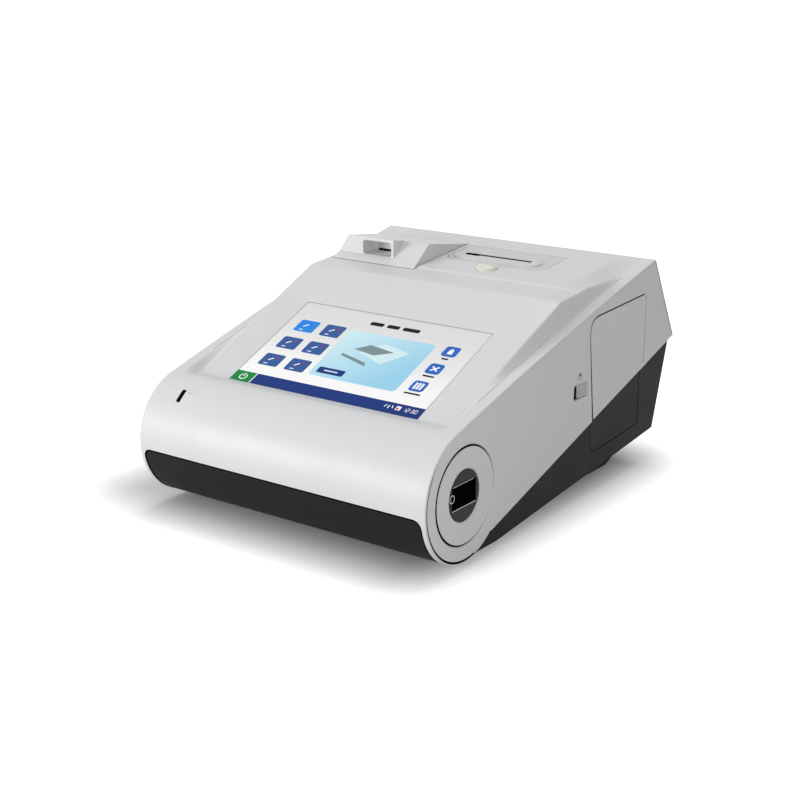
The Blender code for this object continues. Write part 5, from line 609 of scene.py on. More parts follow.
# %% [markdown]
# A moulded cover has an even wall, a rounded rim and a lip that the side panels sit in.
# Solidify could give the wall, but neither the rim nor the lip. So the outer face, the rim, the
# lip and the inner face are laid side by side as the columns of one sheet. Its last column
# meets its first, which closes it all round, and caps close its two ends.

# %% The cover's shell as one closed sheet
RIM, LIP, REBATE_X = 0.8 * MM, 1.0 * MM, 113 * MM


def outward(row):
    """Unit normals of the rail line in the side view."""
    dy, dz = np.gradient(row[0]), np.gradient(row[3])
    return np.stack([-dz, dy], -1) / np.hypot(dy, dz)[:, None]


def cover_sheet():
    """Rows of columns: the outer face, a rim that turns a quarter circle, the lip, and back
    along the inner face, which lies one wall further in along the normal. The left half is the
    mirrored right half, so each row is a closed ring."""
    normal, deep_normal = outward(row_soft), outward(row_deep)
    level = 0 * normal[:, :1]
    out_y = row_soft[0][:, None] + 0 * half_x
    on_deck = np.clip((row_soft[4][:, None] - half_x) / (2 * MM), 0, 1)
    out_z = cover_height(half_x, row_soft) + dish(half_x, out_y) * on_deck
    bend = np.linspace(0, math.pi / 2, 5)[None, 1:]
    rim_x = HALF - RIM + RIM * np.sin(bend) + level
    lip_x = np.array([[HALF, REBATE_X, REBATE_X]]) + level
    sunk = np.hstack([RIM * (1 - np.cos(bend)), [[LIP, LIP, WALL]]])
    edge_y = row_soft[0][:, None] - normal[:, :1] * sunk
    edge_z = row_soft[3][:, None] - normal[:, 1:] * sunk
    in_x = np.minimum(half_x[:, ::-1], REBATE_X - 0.5 * MM)[:, 4:]
    in_y = row_deep[0][:, None] - deep_normal[:, :1] * WALL + 0 * in_x
    in_z = cover_height(in_x, row_deep) - deep_normal[:, 1:] * WALL
    x = np.hstack([half_x, rim_x, lip_x, in_x])
    y = np.hstack([out_y, edge_y, in_y])
    z = np.hstack([out_z, edge_z, in_z])
    right = np.stack([x, y, z], -1)
    left = (right * [-1, 1, 1])[:, ::-1][:, 1:-1]
    return np.concatenate([right, left], axis=1)


sheet = cover_sheet()
print(sheet.shape[0] * sheet.shape[1], "points in the cover's sheet")


# %% Caps at the sheet's two ends
def end_caps(count):
    """Faces across the first and the last row of count points: a strip of quads between the
    outer and the inner face on each side, and one face round the rim and the lip."""
    outer = half_x.shape[1]
    back = 2 * outer + 2 - np.arange(outer - 4)
    edge = np.arange(outer - 5)
    strip = np.stack([edge, edge + 1, back[edge + 1], back[edge]], -1)
    corner = np.arange(outer - 5, back[outer - 5] + 1)
    caps = []
    for first in (0, (len(rows) - 1) * count):
        for side in (1, -1):
            caps += ((side * strip) % count + first).tolist()
            caps.append(((side * corner) % count + first).tolist())
    return caps


cover_faces = quads(*sheet.shape[:2], ring_columns=True).tolist() + end_caps(sheet.shape[1])
print(len(cover_faces), "faces in the cover's sheet")

# %% [markdown]
# The sheet still has to be opened for the screen, the card port, the printer lid, its button,
# the status light and the dark band. In the factory those are shut-offs in the tool. Here one
# cutter made of six prisms is subtracted in a single exact Boolean, which is safer than six
# in a row, and the seams get the same widths as in the CAD solid.

# %% Frames on the cover
screen_y = SCREEN_FOOT[0] + SCREEN[1] / 2 * math.cos(DECK_ANGLE)
DECK = Matrix.Translation((0, screen_y, deck_z(screen_y))) @ Matrix.Rotation(DECK_ANGLE, 4, "X")
CROWN_ANGLE = math.atan(TOP_SLOPE - RIDGE_RISE / (BACK_TOP[0] - RIDGE_Y))


def crown_frame(x, y):
    """A frame on the raised top, square to it."""
    return Matrix.Translation((x, y, crown_z(y))) @ Matrix.Rotation(CROWN_ANGLE, 4, "X")


def roll_frame(x, angle, radius=ROLL_R):
    """A frame on the roll: Z points outwards at this angle, Y runs up round the roll."""
    back = Matrix.Translation((x, ROLL_Y, ROLL_Z)) @ Matrix.Rotation(math.pi / 2 - angle, 4, "X")
    return back @ Matrix.Translation((0, 0, radius))


LID_HINGE_Y, LID_FRONT_Y, LID_THICK = 98.5 * MM, 62.5 * MM, 2.4 * MM
LID_SIDES = (-24 * MM, 58 * MM)
LID = crown_frame(0, LID_HINGE_Y)
LID_ROUND = 10 * MM
BUTTON = Matrix.Translation((19.9 * MM, 52.5 * MM, crown_z(52.5 * MM)))
BUTTON_HALF = (8.2 * MM, 6.6 * MM)
LIGHT = roll_frame(-90.9 * MM, math.radians(50.2))
print("the raised top leans", round(math.degrees(CROWN_ANGLE), 1), "degrees")

# %% [markdown]
# Each cutter is a flat outline pushed through the cover in its own frame. The lid's outline is
# the only one with mixed corners: straight where it is hinged, and round at the front.


# %% Openings in the cover
def lid_loop(seam):
    """The lid's outline, straight at the hinge and round at the two front corners."""
    front = LID_FRONT_Y - LID_HINGE_Y - seam
    left, right = LID_SIDES[0] - seam, LID_SIDES[1] + seam
    bend = LID_ROUND + seam
    a = np.linspace(0, math.pi / 2, 13)[:, None]
    low_left = np.hstack([left + bend - bend * np.cos(a), front + bend - bend * np.sin(a)])
    low_right = low_left[::-1] * [-1, 1] + [left + right, 0]
    back = LID_THICK / 2 + seam
    return np.vstack([[(left, back)], low_left, low_right, [(right, back)]])


def prism(loop, low, high, place):
    """A closed prism in the object's frame, as points and faces."""
    points, faces = slab_arrays(loop, low, high)
    turn = np.array(place)
    return points @ turn[:3, :3].T + turn[:3, 3], faces


BAND_WIDE, BAND_HIGH, BAND_ROUND = 225.7 * MM, 90 * MM, 6 * MM
band_top = ROLL_Z + ROLL_R * math.sin(math.radians(-5))
band_middle = (0, band_top - BAND_HIGH / 2)
UPRIGHT = Matrix.Rotation(math.pi / 2, 4, "X")
FLAT = Matrix.Identity(4)
openings = [
    prism(round_box((0, 0), SCREEN, 0.6 * MM), -8 * MM, 6 * MM, DECK),
    prism(rectangle(-101.8, -27.9, 31.0, 101.8), 130 * MM, 165 * MM, FLAT),
    prism(lid_loop(0.4 * MM), -7 * MM, 5 * MM, LID),
    prism(disc((0, 0), 1, 64) * (np.array(BUTTON_HALF) + 0.35 * MM), -8 * MM, 5 * MM, BUTTON),
    prism(round_box((0, -0.45 * MM), (3.6 * MM, 10 * MM), 0.5 * MM), -6 * MM, 4 * MM, LIGHT),
    prism(round_box(band_middle, (BAND_WIDE, BAND_HIGH), BAND_ROUND), 95 * MM, 200 * MM, UPRIGHT),
]
print(len(openings), "openings to cut")


# %% Cut the cover and smooth it
def opened(piece, prisms):
    """The piece less every prism, by one exact Boolean."""
    points, faces, first = [], [], 0
    for some, cells in prisms:
        points.append(some)
        faces += [[corner + first for corner in cell] for cell in cells]
        first += len(some)
    cutter = shape_of("cutter", np.vstack(points), faces, SHELL)
    cut = piece.modifiers.new("openings", "BOOLEAN")
    cut.object = cutter
    cut.operation = "DIFFERENCE"
    cut.solver = "EXACT"
    made = bpy.data.meshes.new_from_object(piece.evaluated_get(bpy.context.evaluated_depsgraph_get()))
    piece.modifiers.clear()
    piece.data = made
    bpy.data.objects.remove(cutter)
    return piece


cover = shape_of("top_cover_skin", sheet.reshape(-1, 3), cover_faces, SHELL)
opened(cover, openings)
smooth(cover, 34)
keep(cover, "housing", "shell_white", "upper_cover")
print(len(cover.data.polygons), "faces in the cover")

# %% [markdown]
# ## Side panels, door and dark base
#
# The side panels are flat plates let into rebates of the cover. A copy of each solid would be
# quicker, but the eye reads a panel by the line of its seam, so the outline is worked out anew
# here: an arc round the roll, the bowed rail, the leaning back and the straight wedge line.
# Moving each corner along its half-angle gives the seam the same width everywhere.

# %% Outline of the side
SIDE = Matrix(((0, 0, 1, 0), (1, 0, 0, 0), (0, 1, 0, 0), (0, 0, 0, 1)))
PANEL_FACE, PANEL_BACK = 115.7 * MM, 113.1 * MM
PANEL_INSET, RAIL_INSET = 2.4 * MM, 1.25 * MM
WEDGE_SLOPE = 0.3057
ROLL_UNDER = math.radians(-133)
RING_HOLE = 31.3 * MM


def wedge_z(y):
    """Height of the line where the pale side ends."""
    return REAR[1] + WEDGE_SLOPE * (y - REAR[0])


def moved_in(loop, distance):
    """A closed loop moved to the right of its way: each corner goes along the half-angle."""
    line = np.asarray(loop, float)
    coming = line - np.roll(line, 1, axis=0)
    going = np.roll(line, -1, axis=0) - line
    turn = np.array([[0, -1], [1, 0]])
    before = coming / np.linalg.norm(coming, axis=1, keepdims=True) @ turn
    after = going / np.linalg.norm(going, axis=1, keepdims=True) @ turn
    half = before + after
    half /= np.linalg.norm(half, axis=1, keepdims=True)
    return line + half * distance / np.sum(half * before, axis=1, keepdims=True)


def side_loop(inset):
    """The side view (y, z) clockwise from under the roll, moved in everywhere but at the wedge
    line: that edge is first lowered by what the move will raise it."""
    a = np.linspace(ROLL_UNDER, RAIL_TURN, 90)
    arc = np.stack([ROLL_Y - ROLL_R * np.cos(a), ROLL_Z + ROLL_R * np.sin(a)], -1)
    y = np.linspace(arc[-1, 0], BACK_TOP[0], 25)[1:]
    rail = np.stack([y, rail_z(y)], -1)
    drop = inset * math.hypot(1, WEDGE_SLOPE)
    back = np.array(REAR) - BACK_TOP
    rear = REAR + back * drop / (WEDGE_SLOPE * back[0] - back[1])
    arc[0, 1] -= drop
    return moved_in(np.vstack([arc, rail, rear]), inset)


print("side panel", np.round(np.ptp(side_loop(PANEL_INSET), axis=0) / MM), "mm")

# %% [markdown]
# The right panel has three openings: for the scanner's ring, for the latch and for the door.
# The door's outline is straight at the front, bends at its upper corner like a drawn curve,
# runs straight to the back and ends in a small notch for the hinge. It is written as points,
# with a quadratic curve and an arc where it is round.

# %% Outline of the door
DOOR_LOW, DOOR_HIGH = np.array([40.9, 0]) * MM, np.array([33.2, 114.0]) * MM
DOOR_TOP, DOOR_BACK = np.array([45.0, 127.3]) * MM, np.array([112.1, 130.3]) * MM
TAB = (105.6 * MM, 81.72 * MM)


def door_loop():
    """The pale half of the door, clockwise: straight front edge, a corner that bends as a
    quadratic curve, a straight top, a round corner at the back and the notch for the hinge."""
    low = np.array([DOOR_LOW[0], wedge_z(DOOR_LOW[0])])
    heading = DOOR_HIGH - low
    corner = DOOR_HIGH + heading * (DOOR_TOP[1] - DOOR_HIGH[1]) / heading[1]
    s = np.linspace(0, 1, 12)[:, None]
    bend = DOOR_HIGH * (1 - s) ** 2 + corner * 2 * s * (1 - s) + DOOR_TOP * s**2
    a = np.linspace(math.pi / 2, 0, 7)[:, None]
    middle = DOOR_BACK + np.array([-3, -3.1]) * MM
    round_back = middle + 3 * MM * np.hstack([np.cos(a), np.sin(a)])
    notch = [(DOOR_BACK[0], TAB[1]), TAB, (TAB[0], wedge_z(TAB[0]))]
    return np.vstack([low[None], bend, round_back, notch])


door_size = np.ptp(door_loop(), axis=0) / MM
print("the pale half of the door is", np.round(door_size), "mm")

# %% [markdown]
# The openings are cut with slightly wider seams than the solids have, since the eye reads a
# seam by its shadow. Round the roll the panel's own seam is wide, and it closes to a narrow
# one along the rail, as it does on the real case.

# %% The two panels
SEAM_TOP, SEAM_RUN = math.radians(66), math.radians(46)


def seam_loop(narrow, wide):
    """The side view moved in by a wide seam round the roll that closes to a narrow one along the
    rail: share = s^2 (3 - 2 s) of the angle up the roll."""
    near, far = side_loop(narrow), side_loop(wide)
    up = np.arctan2(near[:, 1] - ROLL_Z, ROLL_Y - near[:, 0])
    s = np.clip((SEAM_TOP - up) / SEAM_RUN, 0, 1) * (near[:, 0] < ROLL_Y + 10 * MM)
    share = (s * s * (3 - 2 * s))[:, None]
    return near * (1 - share) + far * share


def panel(name, side, holes):
    """A plate with the side's outline and holes, on the left (-1) or the right (1)."""
    points, faces = prism(seam_loop(RAIL_INSET, PANEL_INSET), PANEL_BACK, PANEL_FACE, SIDE)
    made = shape_of(name + "_skin", points * [side, 1, 1], faces, SHELL)
    if holes:
        opened(made, [prism(hole, PANEL_BACK - MM, PANEL_FACE + MM, SIDE) for hole in holes])
    tidy_mesh(made.data, 0.2)
    soften(made, 0.25 * MM)
    return keep(made, "housing", "shell_white", name)


FRONT_POINTS = 14
door_room = door_loop()
door_room[[0, -1], 1] -= 6 * MM
front_room, back_room = (moved_in(door_room, -seam * MM) for seam in (0.9, 0.4))
door_room = np.vstack([front_room[:FRONT_POINTS], back_room[FRONT_POINTS:]])
latch_room = round_box((22.15 * MM, 80.5 * MM), (18.7 * MM, 10.6 * MM), 2.2 * MM)
ring_room = disc((ROLL_Y, ROLL_Z), RING_HOLE, 128)
panel("left_side_panel", -1, [])
right_panel = panel("right_side_panel", 1, [ring_room, latch_room, door_room])
print(len(right_panel.data.polygons), "faces in the right panel")

# %% [markdown]
# The hole for the ring has a wide, softly dished lip. Cutting it as a cone would need another
# Boolean. A second bevel is simpler: it works only on edges that carry a weight, and the weight
# goes to the edges whose two ends lie on the hole's rim at the panel's face.

# %% Dished lip of the ring's hole
edges = right_panel.data.edges
ends = np.empty(len(edges) * 2, int)
edges.foreach_get("vertices", ends)
spots = np.empty(len(right_panel.data.vertices) * 3)
right_panel.data.vertices.foreach_get("co", spots)
spots = spots.reshape(-1, 3)
reach = np.hypot(spots[:, 1] - ROLL_Y, spots[:, 2] - ROLL_Z)
on_rim = (np.abs(reach - RING_HOLE) < 0.1 * MM) & (spots[:, 0] > PANEL_FACE - 0.1 * MM)
rim_edges = on_rim[ends.reshape(-1, 2)].all(axis=1)
weights = right_panel.data.attributes.new("bevel_weight_edge", "FLOAT", "EDGE")
weights.data.foreach_set("value", rim_edges.astype(float))
dished = right_panel.modifiers.new("dished lip", "BEVEL")
dished.limit_method = "WEIGHT"
dished.width = 1.9 * MM
dished.segments = 5
right_panel.modifiers.move(1, 0)
print(int(rim_edges.sum()), "edges of the ring's hole are dished")

# %% [markdown]
# A seam looks black because light is lost in it. Here a black strip of painted shade lies behind each
# seam and comes up nearly to the face, so that no pale wall shows. A strip between two loops is four
# rings of points joined round.


# %% Painted shade behind the seams
SEAM_SHADE_BACK, SEAM_SHADE_FACE = 112.9 * MM, 115.5 * MM
RING_SHADE_BACK, RING_SHADE_FACE, RING_SHADE_IN = 112.7 * MM, 115.15 * MM, 30.45 * MM


def strip_between(name, outer, inner, low, high, place, material):
    """A closed strip between two loops of equal count: four rings of points, joined round."""
    corners = ((outer, low), (outer, high), (inner, high), (inner, low))
    rings = [np.hstack([loop, np.full((len(loop), 1), level)]) for loop, level in corners]
    faces = quads(4, len(outer), ring_rows=True, ring_columns=True)
    return shape_of(name, np.vstack(rings), faces, material, place)


# Black strips of painted shade in the panels' seams and in the ring's groove.
for side, name in ((1, "right"), (-1, "left")):
    loops = seam_loop(0.95 * MM, 0.95 * MM), seam_loop(1.3 * MM, PANEL_INSET + 0.05 * MM)
    seam_shade = strip_between("seam_shade_strip_" + name, *loops, SEAM_SHADE_BACK, SEAM_SHADE_FACE, SIDE, SHADE_AND_PRINT_BLACK)
    if side < 0:
        seam_shade.data.transform(Matrix.Scale(-1, 4, (1, 0, 0)))
        tidy_mesh(seam_shade.data)
    keep(seam_shade, "housing", "rubber_dark")
ring_loops = [disc((ROLL_Y, ROLL_Z), radius, 96) for radius in (RING_HOLE + 0.05 * MM, RING_SHADE_IN)]
ring_seam_shade = strip_between("ring_seam_shade", *ring_loops, RING_SHADE_BACK, RING_SHADE_FACE, SIDE, SHADE_AND_PRINT_BLACK)
keep(ring_seam_shade, "housing", "rubber_dark")
# The door's front seam gets its own strip of painted shade.
door_near, door_wide = (moved_in(door_loop(), -room * MM)[:FRONT_POINTS] for room in (0.12, 0.95))
gasket = np.vstack([door_near, door_wide[::-1]])
keep(slabs("door_seam_shade", [gasket], SEAM_SHADE_BACK, SEAM_SHADE_FACE, SIDE, SHADE_AND_PRINT_BLACK), "housing", "rubber_dark")
print("the ring's foam is", round((RING_SHADE_FACE - RING_SHADE_BACK) / MM, 2), "mm thick")

# %% [markdown]
# The base, the two halves of the door and the feet already have their final shapes in the CAD model, so
# they are dressed copies. The latch's plate is one too, but its face is cut away where the ribbed knob
# will stand, and what is left is black: painted shade round the knob.

# %% Base, door, feet and the latch's plate
dressed("base_housing", "housing", "base_charcoal", CHARCOAL, 0)
dressed("fluid_door_upper", "door", "shell_white", SHELL, 0.3 * MM)
dressed("fluid_door_lower", "door", "base_charcoal", CHARCOAL, 0.3 * MM)
# The latch's plate is dressed black as painted shade in its recess.
plate = dressed("latch_slider", "latch", "shell_white", SHADE_AND_PRINT_BLACK, 0)
knob_room = round_box((22 * MM, 80.5 * MM), (60 * MM, 40 * MM), MM)
opened(plate, [prism(knob_room, 112.8 * MM, 120 * MM, SIDE)])
for corner in ("front_left", "front_right", "rear_left", "rear_right"):
    dressed("foot_" + corner, "housing", "rubber_dark", RUBBER, 0.3 * MM)
print(len(plate.data.polygons), "faces left of the latch's plate")

# %% [markdown]
# The dark band meets the white cover at a narrow gap that reads as a black line. It is drawn here as a
# strip of black painted shade laid into the gap: its outline is planned flat, seen from the front, and
# then each point is carried back onto the roll, y = Y - R cos a and z = Z + R sin a.


# %% Painted shade in the gap round the band
GAP_OUT, GAP_IN, GAP_FLOOR, GAP_FACE = 0.05 * MM, 1.1 * MM, 42.2 * MM, 42.92 * MM
BAND_FOOT = 12 * MM


def band_path(cut):
    """Half outline of the band seen from the front, cut inside the opening: up the right
    side, round both corners and down the left side."""
    size = (BAND_WIDE - 2 * cut, BAND_HIGH - 2 * cut)
    top = round_box(band_middle, size, BAND_ROUND - cut)[:14]
    down = np.linspace(top[0, 1], BAND_FOOT, 14)[1:]
    right = np.stack([0 * down + top[0, 0], down], -1)[::-1]
    return np.vstack([right, top, right[::-1] * [-1, 1]])


def on_roll(path, radius):
    """Points (x, z) seen from the front carried onto a roll of this radius."""
    a = np.arcsin((path[:, 1] - ROLL_Z) / ROLL_R)
    return np.stack([path[:, 0], ROLL_Y - radius * np.cos(a), ROLL_Z + radius * np.sin(a)], -1)


# The strip in the gap is black painted shade.
outer, inner = band_path(GAP_OUT), band_path(GAP_IN)
gap_edges = [(outer, GAP_FLOOR), (outer, GAP_FACE), (inner, GAP_FACE), (inner, GAP_FLOOR)]
gap_points = np.vstack([on_roll(path, radius) for path, radius in gap_edges])
count = len(outer)
gap_faces = quads(4, count, ring_rows=True).tolist()
gap_faces += [[row * count + end for row in range(4)] for end in (0, count - 1)]
keep(shape_of("band_gap_shade", gap_points, gap_faces, SHADE_AND_PRINT_BLACK), "housing", "base_charcoal")
print("the gap round the band has", count, "points along it")

# %% [markdown]
# Beside the status slot are two moulded dots, a small and a larger one. They lie on the roll,
# so they are made in the slot's own frame, whose Z points straight out of the roll.

# %% Dots by the status slot
DOTS = (((4.4, 2.9), 0.28), ((6.3, 2.7), 0.42))
ticks = [disc(spot * np.array(MM), size * MM, 16) for spot, size in DOTS]
keep(slabs("status_ticks", ticks, -0.15 * MM, 0.03 * MM, LIGHT, GREY_MARK_AND_SHADE), "housing", "base_charcoal")
print(len(ticks), "dots by the slot")

# %% [markdown]
# The wall beside the screen meets the side rail in a fine crease, whose shade reads as a thin grey line.
# A narrow strip of painted shade that follows the rail's height in the side view gives it, one on each
# side.

# %% Painted shade in the crease along the rails
CREASE_X, CREASE_WIDE = 107.55 * MM, 0.3 * MM
y = np.linspace(-92 * MM, 89 * MM, 70)
crease_low, crease_high = (np.stack([y, rail_z(y) + rise * MM], -1) for rise in (-0.4, 0.05))
crease_loop = np.vstack([crease_low, crease_high[::-1]])
for name, low in (("right", CREASE_X), ("left", -CREASE_X - CREASE_WIDE)):
    crease = slabs("rail_crease_shade_" + name, [crease_loop], low, low + CREASE_WIDE, SIDE, GREY_MARK_AND_SHADE)
    keep(crease, "housing", "base_charcoal")
print("rail creases", round(np.ptp(y) / MM), "mm long")

# %% [markdown]
# ## Barcode scanner
#
# The right end of the roll carries a round moulding with a dark window. It is turned from a
# profile: a narrow outer bead, a wide shallow cone and a small lip round the window. The
# window is dark plastic, polished flat, with a small bevel round its edge.

# %% Ring and window
ACROSS = Matrix.Translation((0, ROLL_Y, ROLL_Z)) @ Matrix.Rotation(math.pi / 2, 4, "Y")
RING_X, GLASS_X = 116 * MM, 114.3 * MM
bead = np.linspace(0, math.pi / 2, 7)
cone = np.linspace(0, 1, 13)
outer_bead = np.stack([29.6 + 0.9 * np.sin(bead[::-1]), -0.9 + 0.9 * np.cos(bead[::-1])], -1)
face_cone = np.stack([28.9 - 9.9 * cone, -0.35 - 0.55 * np.sin(cone * math.pi / 2)], -1)
inner_lip = np.stack([18.4 - 1.0 * np.sin(bead), -1.3 + 0.5 * np.cos(bead)], -1)
behind = [(16.7, -1.7), (16.7, -2.8), (15.3, -3.3), (15.3, -4.7), (30.5, -4.7)]
ring_profile = np.vstack([outer_bead, face_cone, inner_lip, behind]) * MM + [0, RING_X]
ring = turned("scanner_ring_skin", ring_profile, ACROSS, SHELL, 128, 40)
keep(ring, "housing", "shell_white", "scanner_ring")
glass = [(0, 0), (15.9, 0), (16.35, -0.3), (16.35, -1.3), (0, -1.3)]
glass_profile = np.array(glass) * MM + [0, GLASS_X]
window = turned("scanner_window_skin", glass_profile, ACROSS, WINDOW, 128, 25)
keep(window, "housing", "window_black", "scanner_window")

# %% [markdown]
# Behind the window the reader's opening shows faintly: a darker rectangle of painted shade, painted
# highlights along two of its edges, and the ring of a lens. They are thin sheets on the window, because
# what lies behind a nearly black window can't be seen through it in a render.


# %% The reader's opening
def bar(centre, length, width, turn=0.0):
    """A thin straight bar as a loop of four corners, in millimetres."""
    along = np.array([math.cos(turn), math.sin(turn)])
    over = np.array([-along[1], along[0]])
    corners = [(-1, -1), (1, -1), (1, 1), (-1, 1)]
    return np.array([centre + along * length / 2 * u + over * width / 2 * v for u, v in corners]) * MM


# The darker rectangle is painted shade, and the two steel lines are painted highlights on its edges.
opening = rectangle(-13.2, 12.6, -6.9, 8.1) + [ROLL_Y, ROLL_Z]
hole = slabs("scanner_aperture_shade", [opening], GLASS_X - 0.2 * MM, GLASS_X + 0.03 * MM, SIDE, SHADE_AND_PRINT_BLACK)
keep(hole, "housing", "window_black")
edge_lines = [bar((-0.2, -6.9), 25.4, 0.35), bar((-1.4, 8.1), 22, 0.22)]
edge_lines = [line + [ROLL_Y, ROLL_Z] for line in edge_lines]
edge_highlights = slabs("scanner_edge_highlights", edge_lines, GLASS_X, GLASS_X + 0.06 * MM, SIDE, STEEL)
keep(edge_highlights, "housing", "window_black")
lens_middle = (ROLL_Y - 13.1 * MM, ROLL_Z + 1.2 * MM)
lens_loops = [disc(lens_middle, radius * MM, 40) for radius in (2.6, 2.2)]
lens_ring = strip_between("scanner_lens_ring", *lens_loops, GLASS_X, GLASS_X + 0.06 * MM, SIDE, STEEL)
keep(lens_ring, "housing", "window_black")
print("the reader's opening is", np.round(np.ptp(opening, axis=0) / MM, 1), "mm")

# %% [markdown]
# ## Latch
#
# A thumb slides the latch to free the door. Its knob is a small comb: five ribs across the direction of
# travel, so that a gloved finger holds. The comb's profile is a wave with flat tops, carried up the
# height of the recess. Behind it the plate, black as painted shade, closes the recess.

# %% Ribbed knob
KNOB_Y = np.array([20.7, 31.2]) * MM
KNOB_Z = (75.4 * MM, 85.6 * MM)
KNOB_BACK, KNOB_ROOT, KNOB_VALLEY, RIB_HIGH = 112.7 * MM, 112.75 * MM, 113.7 * MM, 1.75 * MM
RIBS = 5


def comb(steps=241):
    """Profile (y, x) with a flat floor and ribs: x = valley + high * clip(0.5 - 1.9 cos a, 0, 1),
    where a turns once for each rib."""
    y = np.linspace(*KNOB_Y, steps)
    share = (y - KNOB_Y[0]) / (KNOB_Y[1] - KNOB_Y[0])
    wave = np.clip(0.5 - 1.9 * np.cos(2 * math.pi * share * RIBS), 0, 1)
    return np.stack([y, KNOB_VALLEY + RIB_HIGH * wave], -1)


profile = comb()
levels = np.array([0, 0.25, 0.6, 1.2, 5.1, 9.0, 9.6, 9.95, 10.2]) * MM + KNOB_Z[0]
ease = np.array([0.55, 0.8, 0.93, 1, 1, 1, 0.93, 0.8, 0.55])[:, None]
x = KNOB_ROOT + (profile[None, :, 1] - KNOB_ROOT) * ease
front = np.stack([x, profile[None, :, 0] + 0 * x, levels[:, None] + 0 * x], -1)
base = front.copy()
base[..., 0] = KNOB_BACK
count = front.shape[1]
wrap = np.concatenate([front, base[:, ::-1]], axis=1)
here = np.arange(count - 1)
knob_cap = np.stack([here, here + 1, 2 * count - 2 - here, 2 * count - 1 - here], -1)
knob_faces = quads(len(levels), wrap.shape[1], ring_columns=True).tolist()
knob_faces += knob_cap.tolist() + (knob_cap + (len(levels) - 1) * wrap.shape[1]).tolist()
knob = shape_of("latch_knob_skin", wrap.reshape(-1, 3), knob_faces, SHELL, None, 40)
keep(knob, "latch", "shell_white")
print("knob", count, "points along its comb")

# %% [markdown]
# The valleys between the ribs read as grey lines, because little light reaches them. Four
# narrow grey bars lie in the valleys and end just below the tops of the ribs. A dot in a ring
# is printed above the latch. Like every printed mark it stands a few hundredths of a millimetre
# proud, so that it neither flickers with the face below nor looks like a raised piece.

# %% Grooves and the latch's mark
pitch = (KNOB_Y[1] - KNOB_Y[0]) / RIBS
groove_z = KNOB_Z[0] + 5.1 * MM
groove_size = (0.85 * MM, 8.9 * MM)
grooves = [
    round_box((KNOB_Y[0] + pitch * rib, groove_z), groove_size, 0.3 * MM, 3) for rib in range(1, RIBS)
]
keep(slabs("latch_grooves", grooves, 113.5 * MM, 115.05 * MM, SIDE, GREY_MARK_AND_SHADE), "latch", "base_charcoal")
PROUD, SUNK = 0.03 * MM, -0.05 * MM
ON_SIDE = SIDE @ Matrix.Translation((0, 0, PANEL_FACE))
mark = np.array([20.4, 91.6]) * MM
dot = slabs("latch_mark_dot", [disc(mark, 1.0 * MM)], SUNK, PROUD, ON_SIDE, SHADE_AND_PRINT_BLACK)
keep(dot, "housing", "base_charcoal")
mark_loops = [disc(mark - [0, 0.5 * MM], radius * MM) for radius in (2.5, 2.05)]
mark_ring = strip_between("latch_mark_ring", *mark_loops, SUNK, PROUD, ON_SIDE, GREY_MARK_AND_SHADE)
keep(mark_ring, "housing", "base_charcoal")
print(len(grooves), "grooves between the ribs")

# %% [markdown]
# ## Screen
#
# A touch screen under one sheet of glass. What it shows is a plain working page:
# a column of round-cornered keys, a panel with a start key, and a bar with the usual marks.
# Every mark is generic. Each colour is a thin sheet lying on the glass, which keeps the picture
# sharp at any size and needs no image file.

# %% Glass and picture
dressed("display_glass", "housing", "screen", PICTURE_WHITE, 0)
GLASS_TOP = -1.2 * MM
SHEET = 0.03 * MM


def tile(left, right, low, high, radius=1.6):
    """A round-cornered key of the picture, given by its sides in millimetres."""
    centre = ((left + right) / 2 * MM, (low + high) / 2 * MM)
    return round_box(centre, ((right - left) * MM, (high - low) * MM), radius * MM, 5)


def picture(name, loops, material, layer=1):
    """One colour of the picture, a few hundredths of a millimetre above the glass."""
    top = GLASS_TOP + layer * SHEET
    made = slabs(name, loops, GLASS_TOP - SHEET, top, DECK, material)
    return keep(made, "housing", "screen")


picture("picture_bar", [tile(-59.4, 76.6, -45.7, -35.4, 0.3)], PICTURE_NAVY)
picture("picture_power_key", [tile(-76.6, -60.2, -45.7, -35.4, 0.3)], PICTURE_GREEN)
KEY_CENTRES = np.array([(-36.5, 20.0), (-59.5, 0.2), (-36.8, 0.0), (-59.9, -19.7), (-37.2, -19.8)])
KEY_SIZE = np.array([16.6, 12.7])
keys = [round_box(centre * MM, KEY_SIZE * MM, 1.6 * MM, 5) for centre in KEY_CENTRES]
picture("picture_keys", keys, PICTURE_TILE)
bright = np.array([-59.2, 20.2])
picture("picture_bright_key", [round_box(bright * MM, KEY_SIZE * MM, 1.6 * MM, 5)], PICTURE_BRIGHT)
picture("picture_panel", [tile(-24.6, 46.0, -26.0, 25.0, 3)], PICTURE_SKY)
picture("picture_start_key", [tile(-20.4, 1.2, -22.5, -16.4, 1.2)], PICTURE_NAVY, 2)
SIDE_KEYS = np.array([(59.5, 21.2), (59.0, 2.2), (58.6, -16.5)])
side_size = np.array([11.2, 10.6])
side_loops = [round_box(centre * MM, side_size * MM, 2.4 * MM, 5) for centre in SIDE_KEYS]
picture("picture_side_keys", side_loops, PICTURE_SIDE)
print(len(keys) + 1, "keys on the left and", len(side_loops), "on the right")

# %% [markdown]
# The marks on the keys are plain: a slanted stroke with a dot, and a short line where a label
# would be. A label is only hinted at by a bar, because the part carries no words.


# %% Marks on the picture
def strokes(*bars):
    """Several thin bars: (x, y, length, width, turn in degrees)."""
    return [bar((x, y), length, width, math.radians(turn)) for x, y, length, width, turn in bars]


